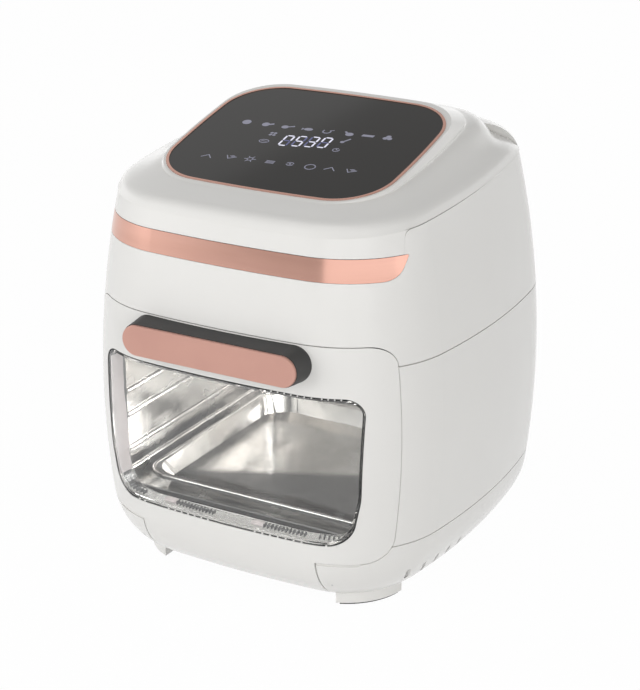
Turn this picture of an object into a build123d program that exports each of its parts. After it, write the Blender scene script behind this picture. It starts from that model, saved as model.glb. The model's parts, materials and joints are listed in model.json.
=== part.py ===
from build123d import *
import functools
import math
import os

# Air fryer oven with a drop-down front door, drawn in millimetres.
# X runs to the right, Y to the back, Z up. Sizes are written about the centre of the
# barrel-shaped body, and every piece is moved along Y by SHIFT_Y when it is written, so
# that the origin lies under the middle of the whole oven, handle included.

# Body: a square with bowed sides in plan, and a barrel curve from bottom to top
HALF_WIDTH = 162.7
HALF_DEPTH = 169.8
FRONT_BOW = 14.0
SIDE_BOW = 24.0
CORNER_R = 94.0
WIDEST_Z = 150.0
BARREL_R = 780.0
TUCK_R = 60.0
TUCK_Z = 57.0
CORE_INSET = 62.0
WALL = 2.8
BODY_BOTTOM = 12.0
INNER_START = 8.0
BODY_TOP = 352.0
DOME_FILLET = 25.0
SEAM = 0.8
SLIP = 0.2
REACH = 260.0

# Seams between the shells
BASE_SEAM = 65.8
WAIST_SEAM = 219.1
TONGUE_WALL = 2.0
TONGUE_RISE = 6.0
TONGUE_ROOT = 12.0
SHOULDER_Z = 328.6
SHOULDER_SLOPE = 0.068
REAR_LIP_Y = 105.0
BULKHEAD_Z = 318.0

# Door outline seen from the side, and the tab in the middle that reaches down to the hinge
DOOR_REAR_Y = -127.0
DOOR_BOTTOM = 52.7
DOOR_TOP = 236.4
DOOR_TOP_R = 17.0
DOOR_BOTTOM_R = 20.0
TAB_HALF = 81.4
TAB_GAP = 1.2
TAB_BOTTOM = 14.0
DOOR_RIM = 2.6
EDGE_T = 1.6
EDGE_H = 1.6
POD_STEP_T = 0.9
POD_STEP_H = 1.4

# Door hinge
HINGE_Y = -144.0
HINGE_Z = 30.0
PIN_R = 2.5
PIN_RUN = 0.05
PIN_SEAT = 0.02
PIN_INNER = 70.5
PIN_OUTER = 91.0
KNUCKLE_R = 6.5
KNUCKLE_X = 70.0
SWING_R = 23.5
SWEEP_R = 27.4

# Window
WINDOW_TOP = 196.5
WINDOW_KNEE_Z = 110.0
WINDOW_BOTTOM = 69.0
WINDOW_TOP_HALF = 121.0
WINDOW_KNEE_HALF = 118.0
WINDOW_BOTTOM_HALF = 110.0
WINDOW_TOP_R = 15.0
WINDOW_KNEE_R = 60.0
WINDOW_BOTTOM_R = 24.0
WINDOW_GAP = 1.2
WINDOW_SINK = 0.6
WINDOW_SKIN = 2.8
WINDOW_SKIRT = 2.5
WINDOW_SKIRT_DEPTH = 16.0
WINDOW_BACK_Y = -134.6
WINDOW_FLANGE = 5.0
WINDOW_FLANGE_T = 1.6
GASKET_EDGE = 0.15

# Inner side of the door
PANEL_HALF = 126.0
PANEL_BOTTOM = 53.6
PANEL_TOP = 231.0
PANEL_R = 12.0
PANEL_T = 2.4
PANEL_GAP = 0.6
SIGHT_HALF = 116.0
SIGHT_BOTTOM = 67.0
SIGHT_TOP = 198.0
SIGHT_R = 10.0
GLASS_LAP = 3.0
GLASS_T = 3.2
FLANGE_WIDTH = 5.0
FLANGE_T = 2.6

# Handle
HANDLE_X = 66.3
HANDLE_Z = 220.4
HANDLE_R = 12.7
HANDLE_FRONT = -183.3
PLATE_T = 2.5
HANDLE_ROOT_R = 15.8
HANDLE_ROOT_Y = -158.0
HANDLE_NOSE_R = 13.3
HANDLE_SCREW_X = 48.0
HANDLE_SCREW_SEAT = -161.5
HANDLE_SCREW_END = -174.0
HANDLE_BOSS_R = 5.0
HANDLE_BOSS_TIP = -165.0
PLATE_EDGE_R = 0.8

# Copper-coloured band round the front
BAND_BOTTOM = 285.6
BAND_TOP = 303.4
BAND_T = 1.4
BAND_TIP_Y = -107.0
BAND_END_R = 20.0
BAND_END_RUN = 12.0
BAND_CORNER_Y = -111.0

# Control panel: glass, its ring, and the parts that lie under it. The ring's front and rear
# points are given as (Y, Z).
PANEL_LOW = (-112.6, 335.3)
PANEL_HIGH = (52.7, 375.8)
GLASS_HALF_X = 101.4
GLASS_HALF_Y = 82.6
GLASS_BOW_FRONT = 4.0
GLASS_BOW_SIDE = 4.5
GLASS_CORNER = 44.0
RIM_W = 2.5
RIM_FIT = 0.1
RIM_PROUD = 0.5
PANEL_GLASS_T = 2.9
CARRIER_T = 6.1
CARRIER_W = 14.5
BOARD_T = 1.6
BOARD_INSET = 4.0
DISPLAY_W = 92.0
DISPLAY_D = 34.0

# Top cover: stations from the shoulder seam up towards the control panel. Each gives the
# front and rear points (Y, Z) of a tilted outline, its half width, the bows of its front
# and its sides, and the corner radii at its front and its rear.
COVER_T = 2.5
COVER_STATIONS = [
    ((-152.0, 318.2), (147.0, 338.6), 143.1, 10.7, 18.0, 75.0, 75.0),
    ((-149.6, 323.6), (139.5, 341.6), 140.3, 10.5, 17.4, 73.0, 74.0),
    ((-144.6, 327.7), (126.5, 345.4), 135.3, 10.1, 16.3, 70.0, 68.0),
    ((-137.5, 329.6), (115.5, 350.0), 127.5, 9.6, 15.2, 66.0, 58.0),
    ((-130.0, 330.8), (107.5, 360.0), 119.2, 9.1, 13.6, 62.0, 48.0),
    ((-123.5, 332.2), (97.0, 366.0), 112.8, 8.3, 11.6, 58.0, 44.0),
    ((-118.0, 333.7), (80.0, 371.0), 108.8, 6.6, 8.4, 52.0, 42.0),
]
LAND_FRONT = 2.2
LAND_SIDE = 2.2
LAND_REAR = 5.5
LAND_REAR_R = 46.0
LAND_BOW_FRONT = 4.2
LAND_BOW_SIDE = 4.8

# Oven cavity
LINER_HALF = 128.0
LINER_FRONT = -122.0
LINER_REAR = 118.0
LINER_FLOOR = 55.0
LINER_TOP = 236.0
SHEET = 1.0
LINER_R = 10.0
SHIELD_LAP = 3.0
RAIL_LEVELS = (68.0, 88.5, 119.5, 141.0)
RAIL_R = 2.6
RAIL_FRONT = -113.0
RAIL_REAR = 100.0
MOUTH_HALF = 122.0
MOUTH_TOP = 204.0
MOUTH_R = 8.0
FRAME_T = 4.0
FRAME_RISE = 4.0
SEAL_W = 5.0
SEAL_T = 1.0
SEAL_PROUD = 0.3
SEAL_GAP = 2.0
SEAL_EDGE = 0.4
SEAL_FOOT = 2.2
SEAL_R = 8.0
SEAL_FIT = 0.1

# Drip tray
TRAY_HALF = 114.0
TRAY_FRONT = -112.0
TRAY_REAR = 100.0
TRAY_RIM_Z = 70.0
TRAY_DRAFT = 6.0
TRAY_SHEET = 1.0
TRAY_CLEAR = 0.3
TRAY_LIP = 5.0
TRAY_LIP_T = 2.5
TRAY_R = 24.0

# Fan, motor and heater above the cavity
FAN_Y = 0.5 * (LINER_FRONT + LINER_REAR)
SHAFT_R = 4.0
SHAFT_RUN = 0.05
SHAFT_SEAT = 0.02
SHAFT_BOTTOM = 211.0
SHAFT_TOP = 293.0
GUARD_Z = 204.0
GUARD_RINGS = 5
GUARD_RING_STEP = 14.0
GUARD_SLOT = 7.0
FAN_R = 64.0
FAN_Z = 217.0
FAN_H = 11.0
FAN_BLADES = 12
HUB_R = 9.0
ELEMENT_RING_R = 88.0
ELEMENT_R = 3.2
ELEMENT_Z = 217.0
ELEMENT_LEAD_X = 11.0
CLIP_W = 8.0
MOTOR_R = 30.0
MOTOR_BOTTOM = 246.0
MOTOR_TOP = 277.0
BRACKET_HALF = 42.0
BRACKET_T = 2.0
COOLER_R = 42.0
COOLER_Z = 281.0
COOLER_H = 9.0
COOLER_BLADES = 9

# Rotisserie drive, lamp and temperature probe
SPIT_Z = 128.0
SOCKET_R = 8.0
SOCKET_SQUARE = 7.0
SOCKET_IN = 116.0
SOCKET_DEPTH = 12.0
SPIT_MOTOR_OUT = 150.0
SPIT_MOTOR_HALF = 24.0
LAMP_Y = 56.0
LAMP_Z = 180.0
LAMP_R = 17.0
LAMP_OUT = 149.0
BULB_R = 6.0
BULB_L = 17.0
PROBE_X = 104.0
PROBE_R = 2.4
PROBE_TIP = 207.0

# Door switch and magnets
SWITCH_X = 100.0
SWITCH_Z = 220.0
PLUNGER_R = 2.0
PLUNGER_RUN = 0.08
PLUNGER_END = -112.0
PLUNGER_TIP_GAP = 0.15
MAGNET_X = 58.0
MAGNET_Z = 217.0
MAGNET_W = 16.0
MAGNET_H = 9.0
MAGNET_FIT = 0.1
STRIKE_T = 1.2

# Base, feet and fasteners
FLOOR_T = 3.0
FOOT_PAD_T = 2.0
FOOT_INSET = 37.0
PAD_INSET = 39.0
FOOT_FRONT_X = 83.3
FOOT_FRONT_Y = -81.5
FOOT_REAR_Y = 61.0
PAD_MARGIN = 2.0
POST_X = 96.0
POST_FRONT_Y = -92.0
POST_REAR_Y = 88.0
POST_R = 6.0
SCREW_R = 2.0
SCREW_FIT = 0.05
SCREW_HEAD_R = 3.6
SCREW_HEAD_T = 2.2
VENT_COUNT = 5
VENT_PITCH = 18.0
VENT_FIRST_Y = -104.0
VENT_W = 4.0
VENT_H = 13.0
VENT_Z = 32.0
VENT_LEAN = 28.0
LOUVRE_COUNT = 7
LOUVRE_PITCH = 8.5
LOUVRE_H = 3.6
LOUVRE_HALF = 46.0
LOUVRE_Z = 258.0
GLAND_X = -84.0
GLAND_Z = 92.0
GLAND_R = 8.0
GLAND_BORE_R = 3.6
GLAND_OUT_Y = 167.6
GLAND_IN_Y = 150.0
REAR_SCREW_X = 70.0
REAR_SCREW_Z = 236.0
REAR_SCREW_L = 14.6

# Circuit boards above the cavity
POWER_X0 = 52.0
POWER_X1 = 112.0
POWER_Y0 = -70.0
POWER_Y1 = 50.0
POWER_Z = 252.0
STANDOFF_R = 4.0
STANDOFF_INSET = 7.0
CHIP_H = 14.0
CHIP_SEAT = 0.5
CHIPS = [(6.0, 10.0, 20.0, 26.0), (34.0, 60.0, 16.0, 24.0)]
CAPACITOR = (20.0, 56.0)
CAPACITOR_R = 7.0
CAPACITOR_RISE = 5.0

PANEL_TILT = math.atan2(PANEL_HIGH[1] - PANEL_LOW[1], PANEL_HIGH[0] - PANEL_LOW[0])
LEAD_Y = FAN_Y + math.sqrt(ELEMENT_RING_R ** 2 - ELEMENT_LEAD_X ** 2)
SHIFT_Y = -0.5 * (HANDLE_FRONT + HALF_DEPTH)
LEAN = math.asin((WIDEST_Z - TUCK_Z) / BARREL_R)
FRAME_FRONT = DOOR_REAR_Y + SEAM
PANEL_BACK = DOOR_REAR_Y - PANEL_GAP
PANEL_FRONT = PANEL_BACK - PANEL_T
HANDLE_SEAT = HANDLE_FRONT + PLATE_T
REAR_SCREW_DROP = (REAR_SCREW_Z - WIDEST_Z) ** 2 / (2 * BARREL_R)
REAR_SCREW_SIDE = FRONT_BOW * (REAR_SCREW_X / HALF_WIDTH) ** 2
REAR_SCREW_SEAT = HALF_DEPTH - REAR_SCREW_DROP - REAR_SCREW_SIDE + 0.6


def box(x0, x1, y0, y1, z0, z1):
    """A block between two opposite corners."""
    size = (x1 - x0, y1 - y0, z1 - z0)
    centre = (0.5 * (x0 + x1), 0.5 * (y0 + y1), 0.5 * (z0 + z1))
    return Pos(*centre) * Box(*size)


def rod(radius, start, end):
    """A round bar between two points."""
    start, end = Vector(*start), Vector(*end)
    plane = Plane(origin=start, z_dir=end - start)
    return plane * Cylinder(radius, (end - start).length, align=(Align.CENTER, Align.CENTER, Align.MIN))


def group(shapes):
    """Separate solids kept together in one node."""
    return Compound([solid for shape in shapes for solid in shape.solids()])


def bowed_arcs(half_w, half_d, bow_front, bow_side, corner):
    """Centres, radii and angles of the eight tangent arcs of a square with bowed sides."""
    r_front = (half_w ** 2 + bow_front ** 2) / (2 * bow_front)
    r_side = (half_d ** 2 + bow_side ** 2) / (2 * bow_side)
    front_y = half_d - r_front
    side_x = half_w - r_side
    to_front = r_front - corner
    to_side = r_side - corner
    span = math.hypot(side_x, front_y)
    along = (to_front ** 2 - to_side ** 2 + span ** 2) / (2 * span)
    across = math.sqrt(to_front ** 2 - along ** 2)
    ex, ey = side_x / span, -front_y / span
    spots = [(ex * along - s * ey * across, front_y + ey * along + s * ex * across) for s in (1, -1)]
    kx, ky = max(spots, key=sum)
    a_front = math.degrees(math.atan2(ky - front_y, kx))
    a_side = math.degrees(math.atan2(ky, kx - side_x))
    return [
        ((side_x, 0), r_side, -a_side, a_side),
        ((kx, ky), corner, a_side, a_front),
        ((0, front_y), r_front, a_front, 180 - a_front),
        ((-kx, ky), corner, 180 - a_front, 180 - a_side),
        ((-side_x, 0), r_side, 180 - a_side, 180 + a_side),
        ((-kx, -ky), corner, 180 + a_side, 180 + a_front),
        ((0, -front_y), r_front, 180 + a_front, 360 - a_front),
        ((kx, -ky), corner, 360 - a_front, 360 - a_side),
    ]


def uneven_arcs(half_w, half_d, bow_front, bow_side, front_corner, rear_corner):
    """The same loop with one corner radius for its front half and one for its rear half."""
    front = bowed_arcs(half_w, half_d, bow_front, bow_side, front_corner)
    rear = bowed_arcs(half_w, half_d, bow_front, bow_side, rear_corner)
    right = (*front[0][:3], rear[0][3])
    left = (*rear[4][:3], front[4][3])
    return [right, *rear[1:4], left, *front[5:]]


PLAN = bowed_arcs(HALF_WIDTH, HALF_DEPTH, FRONT_BOW, SIDE_BOW, CORNER_R)


def arcs_face(arcs, inset=0.0):
    """The face inside a loop of tangent arcs, drawn in by an inset."""
    return make_face([CenterArc((c[0], c[1], 0), r - inset, a, b - a) for c, r, a, b in arcs])


def plan_prism(inset, z0, z1):
    """An upright prism with the body's plan, drawn in by an inset."""
    return extrude(Pos(0, 0, z0) * arcs_face(PLAN, inset), z1 - z0)


def barrel_wedge_face(radius, depth, z0, z1):
    """Upright section of the barrel from its core out to its surface, less a depth."""
    bulge_x = radius - BARREL_R
    bulge_r = BARREL_R - depth
    tuck_x = bulge_x + (BARREL_R - TUCK_R) * math.cos(LEAN)
    tuck_z = WIDEST_Z - (BARREL_R - TUCK_R) * math.sin(LEAN)
    tuck_r = TUCK_R - depth
    join = (bulge_x + bulge_r * math.cos(LEAN), WIDEST_Z - bulge_r * math.sin(LEAN))

    def on_bulge(z):
        return (bulge_x + math.sqrt(bulge_r ** 2 - (z - WIDEST_Z) ** 2), z)

    def on_tuck(z):
        return (tuck_x + math.sqrt(tuck_r ** 2 - (z - tuck_z) ** 2), z)

    core_x = radius - CORE_INSET
    top = on_bulge(z1)
    bottom = on_tuck(z0)
    edges = [
        ThreePointArc(top, on_bulge(0.5 * (z1 + join[1])), join),
        ThreePointArc(join, on_tuck(0.5 * (z0 + join[1])), bottom),
        Line(bottom, (core_x, z0)),
        Line((core_x, z0), (core_x, z1)),
        Line((core_x, z1), top),
    ]
    return Plane.XZ * make_face(edges)


@functools.cache
def barrel(depth, z0=BODY_BOTTOM, z1=BODY_TOP):
    """The barrel-shaped body as a solid, with its surface drawn in by a depth."""
    tuck_floor = WIDEST_Z - (BARREL_R - TUCK_R) * math.sin(LEAN) - (TUCK_R - depth)
    z0 = max(z0, tuck_floor + 0.5)
    solid = plan_prism(CORE_INSET, z0, z1)
    for centre, radius, start, end in PLAN:
        face = Pos(centre[0], centre[1], 0) * Rot(0, 0, start) * barrel_wedge_face(radius, depth, z0, z1)
        solid += revolve(face, Axis((centre[0], centre[1], 0), (0, 0, 1)), end - start)
    return solid


def side_prism(face):
    """A face drawn in Y and Z, carried through the whole width."""
    return extrude(Plane.YZ * face, REACH, both=True)


def front_prism(face):
    """A face drawn in X and Z, carried forward through the front."""
    return extrude(Plane.XZ * face, REACH)


def rounded(points, radii):
    """A closed outline with one radius for each corner."""
    return make_face(FilletPolyline(*points, radius=radii, close=True))


def door_zone(grow):
    """Side outline of the door, grown by a gap."""
    front = -REACH
    rear = DOOR_REAR_Y + grow
    low = DOOR_BOTTOM - grow
    high = DOOR_TOP + grow
    points = [(front, low), (rear, low), (rear, high), (front, high)]
    return side_prism(rounded(points, [1.0, DOOR_BOTTOM_R + grow, DOOR_TOP_R + grow, 1.0]))


def window_face(grow):
    """Front outline of the window, grown outward."""
    points = [
        (-WINDOW_TOP_HALF - grow, WINDOW_TOP + grow),
        (-WINDOW_KNEE_HALF - grow, WINDOW_KNEE_Z),
        (-WINDOW_BOTTOM_HALF - grow, WINDOW_BOTTOM - grow),
        (WINDOW_BOTTOM_HALF + grow, WINDOW_BOTTOM - grow),
        (WINDOW_KNEE_HALF + grow, WINDOW_KNEE_Z),
        (WINDOW_TOP_HALF + grow, WINDOW_TOP + grow),
    ]
    radii = [
        WINDOW_TOP_R + grow,
        WINDOW_KNEE_R,
        WINDOW_BOTTOM_R + grow,
        WINDOW_BOTTOM_R + grow,
        WINDOW_KNEE_R,
        WINDOW_TOP_R + grow,
    ]
    return rounded(points, radii)


def slanted_block(height, low=-60.0):
    """Everything below the sloping shoulder plane, down to a level."""
    rise = SHOULDER_SLOPE * REACH
    points = [(-REACH, low), (REACH, low), (REACH, height + rise), (-REACH, height - rise)]
    return side_prism(make_face(Polyline(*points, close=True)))


def cover_zone(gap):
    """Side outline of what belongs to the top cover: the shoulder, and the front down to the band."""
    rise = SHOULDER_SLOPE * REACH
    corner_z = SHOULDER_Z + SHOULDER_SLOPE * BAND_TIP_Y + gap
    points = [
        (-REACH, BAND_TOP + gap),
        (BAND_CORNER_Y, BAND_TOP + gap),
        (BAND_TIP_Y, corner_z),
        (REACH, SHOULDER_Z + rise + gap),
        (REACH, 2 * REACH),
        (-REACH, 2 * REACH),
    ]
    return side_prism(rounded(points, [1.0, 1.0, 8.0, 1.0, 1.0, 1.0]))


def band_zone(grow):
    """Side outline of the band, with its lower edge swept up to the tip."""
    points = [
        (-REACH, BAND_BOTTOM - grow),
        (BAND_TIP_Y - BAND_END_RUN + grow, BAND_BOTTOM - grow),
        (BAND_TIP_Y + 2 * grow, BAND_TOP + grow),
        (-REACH, BAND_TOP + grow),
    ]
    return side_prism(rounded(points, [1.0, BAND_END_R, 1.0, 1.0]))


def tilted_plane(low, high, depth):
    """Plane through a front and a rear point (Y, Z), sunk along its normal."""
    tilt = math.atan2(high[1] - low[1], high[0] - low[0])
    normal = (0, -math.sin(tilt), math.cos(tilt))
    mid_y = 0.5 * (low[0] + high[0])
    mid_z = 0.5 * (low[1] + high[1])
    origin = (0, mid_y - depth * normal[1], mid_z - depth * normal[2])
    return Plane(origin=origin, x_dir=(1, 0, 0), z_dir=normal)


def land_station():
    """The cover's highest outline, which leaves a flat land round the panel's ring."""
    cos, sin = math.cos(PANEL_TILT), math.sin(PANEL_TILT)
    low = (PANEL_LOW[0] - LAND_FRONT * cos, PANEL_LOW[1] - LAND_FRONT * sin)
    high = (PANEL_HIGH[0] + LAND_REAR * cos, PANEL_HIGH[1] + LAND_REAR * sin)
    half_w = GLASS_HALF_X + RIM_W + LAND_SIDE
    front_corner = GLASS_CORNER + RIM_W + LAND_SIDE
    return (low, high, half_w, LAND_BOW_FRONT, LAND_BOW_SIDE, front_corner, LAND_REAR_R)


def cover_loft(shrink):
    """The raised head of the top cover as a solid, drawn in by a thickness."""
    outlines = []
    for low, high, half_w, bow_front, bow_side, front_r, rear_r in COVER_STATIONS + [land_station()]:
        half_d = 0.5 * math.hypot(high[0] - low[0], high[1] - low[1]) - shrink
        arcs = uneven_arcs(half_w - shrink, half_d, bow_front, bow_side, front_r - shrink, rear_r - shrink)
        outlines.append(tilted_plane(low, high, shrink) * arcs_face(arcs))
    collar = loft(outlines[-2:], ruled=True)
    return loft(outlines[:-1]) + collar


def panel_plane(depth):
    """Plane of the control glass, sunk along its normal."""
    return tilted_plane(PANEL_LOW, PANEL_HIGH, depth)


def panel_outline(grow):
    """Outline of the control glass, grown outward."""
    arcs = bowed_arcs(GLASS_HALF_X, GLASS_HALF_Y, GLASS_BOW_FRONT, GLASS_BOW_SIDE, GLASS_CORNER)
    return arcs_face(arcs, -grow)


def panel_slab(grow, top, bottom):
    """A slab with the control glass's outline between two depths under its surface."""
    return extrude(panel_plane(bottom) * panel_outline(grow), bottom - top)


OUTER = barrel(0.0)
INNER = barrel(WALL, INNER_START, BODY_TOP + 20)
TONGUE_OUT = barrel(WALL + SLIP, INNER_START, BODY_TOP)
TONGUE_IN = barrel(WALL + SLIP + TONGUE_WALL, INNER_START, BODY_TOP)
SHELL = OUTER - INNER
DOOR_CUT = door_zone(SEAM)


def make_tongue(level):
    """A ring inside a seam that lines up the shell above it."""
    ring = TONGUE_OUT - TONGUE_IN
    riser = ring & box(-REACH, REACH, FRAME_FRONT + FRAME_T, REACH, level - TONGUE_ROOT, level + TONGUE_RISE)
    root = (INNER - TONGUE_IN) & box(
        -REACH, REACH, FRAME_FRONT + FRAME_T, REACH, level - TONGUE_ROOT, level - 0.5 * SEAM
    )
    return riser + root


def make_base():
    tub = OUTER - (INNER & box(-REACH, REACH, -REACH, REACH, BODY_BOTTOM + FLOOR_T, REACH))
    tub &= box(-REACH, REACH, -REACH, REACH, BODY_BOTTOM, BASE_SEAM - 0.5 * SEAM)
    tub -= DOOR_CUT
    step = box(-REACH, REACH, -REACH, HINGE_Y, DOOR_BOTTOM - SEAM - POD_STEP_H, DOOR_BOTTOM)
    recess_y = HINGE_Y + SWING_R
    side_x = TAB_HALF + TAB_GAP
    lid_z = DOOR_BOTTOM - SEAM
    floor_z = BODY_BOTTOM + FLOOR_T
    for s in (-1, 1):
        lid = box(side_x, REACH, -REACH, recess_y, lid_z - WALL, lid_z)
        cheek = box(side_x, side_x + WALL, -REACH, recess_y + WALL, BODY_BOTTOM, lid_z)
        pod = (lid + cheek) & OUTER
        tub += pod if s > 0 else mirror(pod, Plane.YZ)
    tub -= step - barrel(POD_STEP_T)
    tub -= box(-side_x, side_x, -REACH, recess_y, 0, REACH)
    wall_top = LINER_FLOOR - SHEET - SEAM
    tub += box(-side_x - WALL, side_x + WALL, recess_y, recess_y + WALL, BODY_BOTTOM, wall_top)
    for s in (-1, 1):
        ear = rod(KNUCKLE_R, (s * side_x, HINGE_Y, HINGE_Z), (s * (PIN_OUTER - 1), HINGE_Y, HINGE_Z))
        tub += ear & OUTER
        for y in (POST_FRONT_Y, POST_REAR_Y):
            tub += rod(POST_R, (s * POST_X, y, floor_z - 1), (s * POST_X, y, LINER_FLOOR - SHEET))
    for s in (-1, 1):
        tub -= rod(PIN_R + PIN_SEAT, (s * (side_x - 1), HINGE_Y, HINGE_Z), (s * PIN_OUTER, HINGE_Y, HINGE_Z))
        for y in (POST_FRONT_Y, POST_REAR_Y):
            tub -= rod(SCREW_R + SCREW_FIT, (s * POST_X, y, 0), (s * POST_X, y, LINER_FLOOR - 6))
            tub -= rod(SCREW_HEAD_R + 0.4, (s * POST_X, y, 0), (s * POST_X, y, BODY_BOTTOM + SCREW_HEAD_T))
        for i in range(VENT_COUNT):
            slot = extrude(SlotOverall(VENT_H, VENT_W, rotation=90), 60)
            place = Pos(s * 100, VENT_FIRST_Y + i * VENT_PITCH, VENT_Z) * Rot(0, s * 90, 0)
            tub -= place * (Rot(0, 0, VENT_LEAN) * Rot(0, 0, 90) * slot)
    tub += make_tongue(BASE_SEAM)
    for face_box in foot_boxes(0.0):
        tub += plan_prism(FOOT_INSET, FOOT_PAD_T, BODY_BOTTOM + 1) & face_box
    for s in (-1, 1):
        for y in (POST_FRONT_Y, POST_REAR_Y):
            tub -= rod(SCREW_HEAD_R + 0.4, (s * POST_X, y, 0), (s * POST_X, y, BODY_BOTTOM + SCREW_HEAD_T))
    return tub


def foot_boxes(margin):
    """The four blocks of space that hold the feet, drawn in by a margin."""
    out = []
    for s in (-1, 1):
        x0, x1 = sorted((s * (FOOT_FRONT_X + margin), s * REACH))
        out.append(box(x0, x1, -REACH, FOOT_FRONT_Y - margin, 0, 20))
        out.append(box(x0, x1, FOOT_REAR_Y + margin, REACH, 0, 20))
    return out


def make_foot_pads():
    pads = [plan_prism(PAD_INSET, 0, FOOT_PAD_T) & b for b in foot_boxes(PAD_MARGIN)]
    return group(pads)


def make_lower_housing():
    top = WAIST_SEAM - 0.5 * SEAM
    shell = SHELL & box(-REACH, REACH, -REACH, REACH, BASE_SEAM + 0.5 * SEAM, top)
    shell = shell - DOOR_CUT + make_tongue(WAIST_SEAM)
    shell -= rod(GLAND_R + SCREW_FIT, (GLAND_X, 100, GLAND_Z), (GLAND_X, 200, GLAND_Z))
    return shell


def make_upper_housing():
    shell = SHELL & box(-REACH, REACH, -REACH, REAR_LIP_Y - 0.5 * SEAM, WAIST_SEAM + 0.5 * SEAM, BODY_TOP)
    shell -= DOOR_CUT
    shell -= cover_zone(-0.5 * SEAM)
    shell -= band_zone(0.3) - barrel(BAND_T, INNER_START, BODY_TOP)
    return shell


def make_trim_band():
    strip = (OUTER - barrel(BAND_T, INNER_START, BODY_TOP)) & band_zone(0.0)
    return strip & box(-REACH, REACH, -REACH, BAND_TIP_Y, 0, REACH * 2)


def make_top_cover():
    seam_cut = slanted_block(SHOULDER_Z)
    skirt = SHELL & seam_cut & cover_zone(0.5 * SEAM)
    back_y = REAR_LIP_Y - 0.5 * SEAM
    skirt &= box(-REACH, REACH, -REACH, back_y, 0, REACH * 2)
    full = cover_loft(0.0)
    head = full - cover_loft(COVER_T)
    head &= box(-REACH, REACH, -REACH, back_y, 0, REACH * 2)
    head += full & box(-REACH, REACH, back_y - COVER_T, back_y, 0, REACH * 2)
    head -= slanted_block(SHOULDER_Z + 0.5 * SEAM) - box(-REACH, REACH, -REACH, BAND_TIP_Y, 0, REACH * 2)
    head -= panel_slab(RIM_W + RIM_FIT, -20, 20)
    return skirt + head


def round_top(solid, radius, level):
    """Rounds the edges of a solid at its top level."""
    return solid.fillet(radius, solid.edges().filter_by_position(Axis.Z, level - 0.1, level + 0.1))


def make_rear_cover():
    outer = round_top(OUTER, DOME_FILLET, BODY_TOP)
    inner = round_top(barrel(WALL, INNER_START, BODY_TOP - WALL), DOME_FILLET - WALL, BODY_TOP - WALL)
    lip_y = REAR_LIP_Y + 0.5 * SEAM
    shell = (outer - inner) & box(-REACH, REACH, lip_y, REACH, WAIST_SEAM + 0.5 * SEAM, BODY_TOP + 1)
    shell += outer & box(-REACH, REACH, lip_y, lip_y + WALL, BULKHEAD_Z, BODY_TOP + 1)
    for i in range(LOUVRE_COUNT):
        z = LOUVRE_Z + i * LOUVRE_PITCH
        shell -= box(-LOUVRE_HALF, LOUVRE_HALF, 120, 200, z, z + LOUVRE_H)
    for x in (-REAR_SCREW_X, REAR_SCREW_X):
        shell -= rod(SCREW_R + SCREW_FIT, (x, 130, REAR_SCREW_Z), (x, 200, REAR_SCREW_Z))
    return shell


def make_door_shell():
    zone = door_zone(0.0)
    tab = box(-TAB_HALF, TAB_HALF, -REACH, DOOR_REAR_Y - 2, TAB_BOTTOM, DOOR_BOTTOM + 2)
    shell = SHELL & (zone + tab)
    rim = (zone - door_zone(-DOOR_RIM)) & INNER & box(-REACH, REACH, -REACH, PANEL_FRONT - SLIP, 0, REACH)
    flange = (INNER - barrel(WALL + FLANGE_WIDTH, INNER_START, BODY_TOP)) & zone
    flange &= box(-REACH, REACH, PANEL_FRONT - FLANGE_T, PANEL_FRONT, 0, REACH)
    for s in (-1, 1):
        x0, x1 = sorted((s * TAB_HALF, s * REACH))
        sweep = rod(SWEEP_R, (x0, HINGE_Y, HINGE_Z), (x1, HINGE_Y, HINGE_Z))
        rim -= sweep
        flange -= sweep
        edge = box(x0, x1, -REACH, HINGE_Y, DOOR_BOTTOM - SEAM, DOOR_BOTTOM + EDGE_H)
        shell -= edge & barrel(EDGE_T)
    shell += rim
    shell += flange
    for s in (-1, 1):
        x0, x1 = sorted((s * KNUCKLE_X, s * TAB_HALF))
        web = box(x0, x1, -REACH, HINGE_Y, HINGE_Z - KNUCKLE_R, HINGE_Z + KNUCKLE_R) & INNER
        shell += web
        shell += rod(KNUCKLE_R, (x0, HINGE_Y, HINGE_Z), (x1, HINGE_Y, HINGE_Z)) & OUTER
        screw_x = s * HANDLE_SCREW_X
        seat = (screw_x, HANDLE_SCREW_SEAT, HANDLE_Z)
        boss = rod(HANDLE_BOSS_R, seat, (screw_x, HANDLE_BOSS_TIP, HANDLE_Z))
        shell += boss & OUTER
    for s in (-1, 1):
        x0, x1 = sorted((s * (KNUCKLE_X - 1), s * (TAB_HALF + 1)))
        shell -= rod(PIN_R + PIN_RUN, (x0, HINGE_Y, HINGE_Z), (x1, HINGE_Y, HINGE_Z))
        screw_x = s * HANDLE_SCREW_X
        shell -= rod(SCREW_R + SCREW_FIT, (screw_x, -155, HANDLE_Z), (screw_x, -175, HANDLE_Z))
    shell -= glass_plate(SLIP, PANEL_FRONT - GLASS_T - SLIP, PANEL_FRONT + 1)
    shell -= front_prism(window_face(0.0)) - box(-REACH, REACH, DOOR_REAR_Y - 12, REACH, 0, REACH)
    return shell


def make_door_window():
    opening = front_prism(window_face(-WINDOW_GAP))
    skin = (barrel(WINDOW_SINK) - barrel(WINDOW_SINK + WINDOW_SKIN, INNER_START, BODY_TOP)) & opening
    ring = opening - front_prism(window_face(-WINDOW_GAP - WINDOW_SKIRT))
    skirt = ring & (barrel(WINDOW_SINK) - barrel(WINDOW_SKIRT_DEPTH))
    behind = barrel(WALL + SLIP) - barrel(WALL + SLIP + WINDOW_FLANGE_T, INNER_START, BODY_TOP)
    flange = behind & (front_prism(window_face(WINDOW_FLANGE)) - front_prism(window_face(-WINDOW_GAP - 1)))
    return (skin + skirt + flange) & box(-REACH, REACH, -REACH, WINDOW_BACK_Y, 0, REACH)


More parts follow.
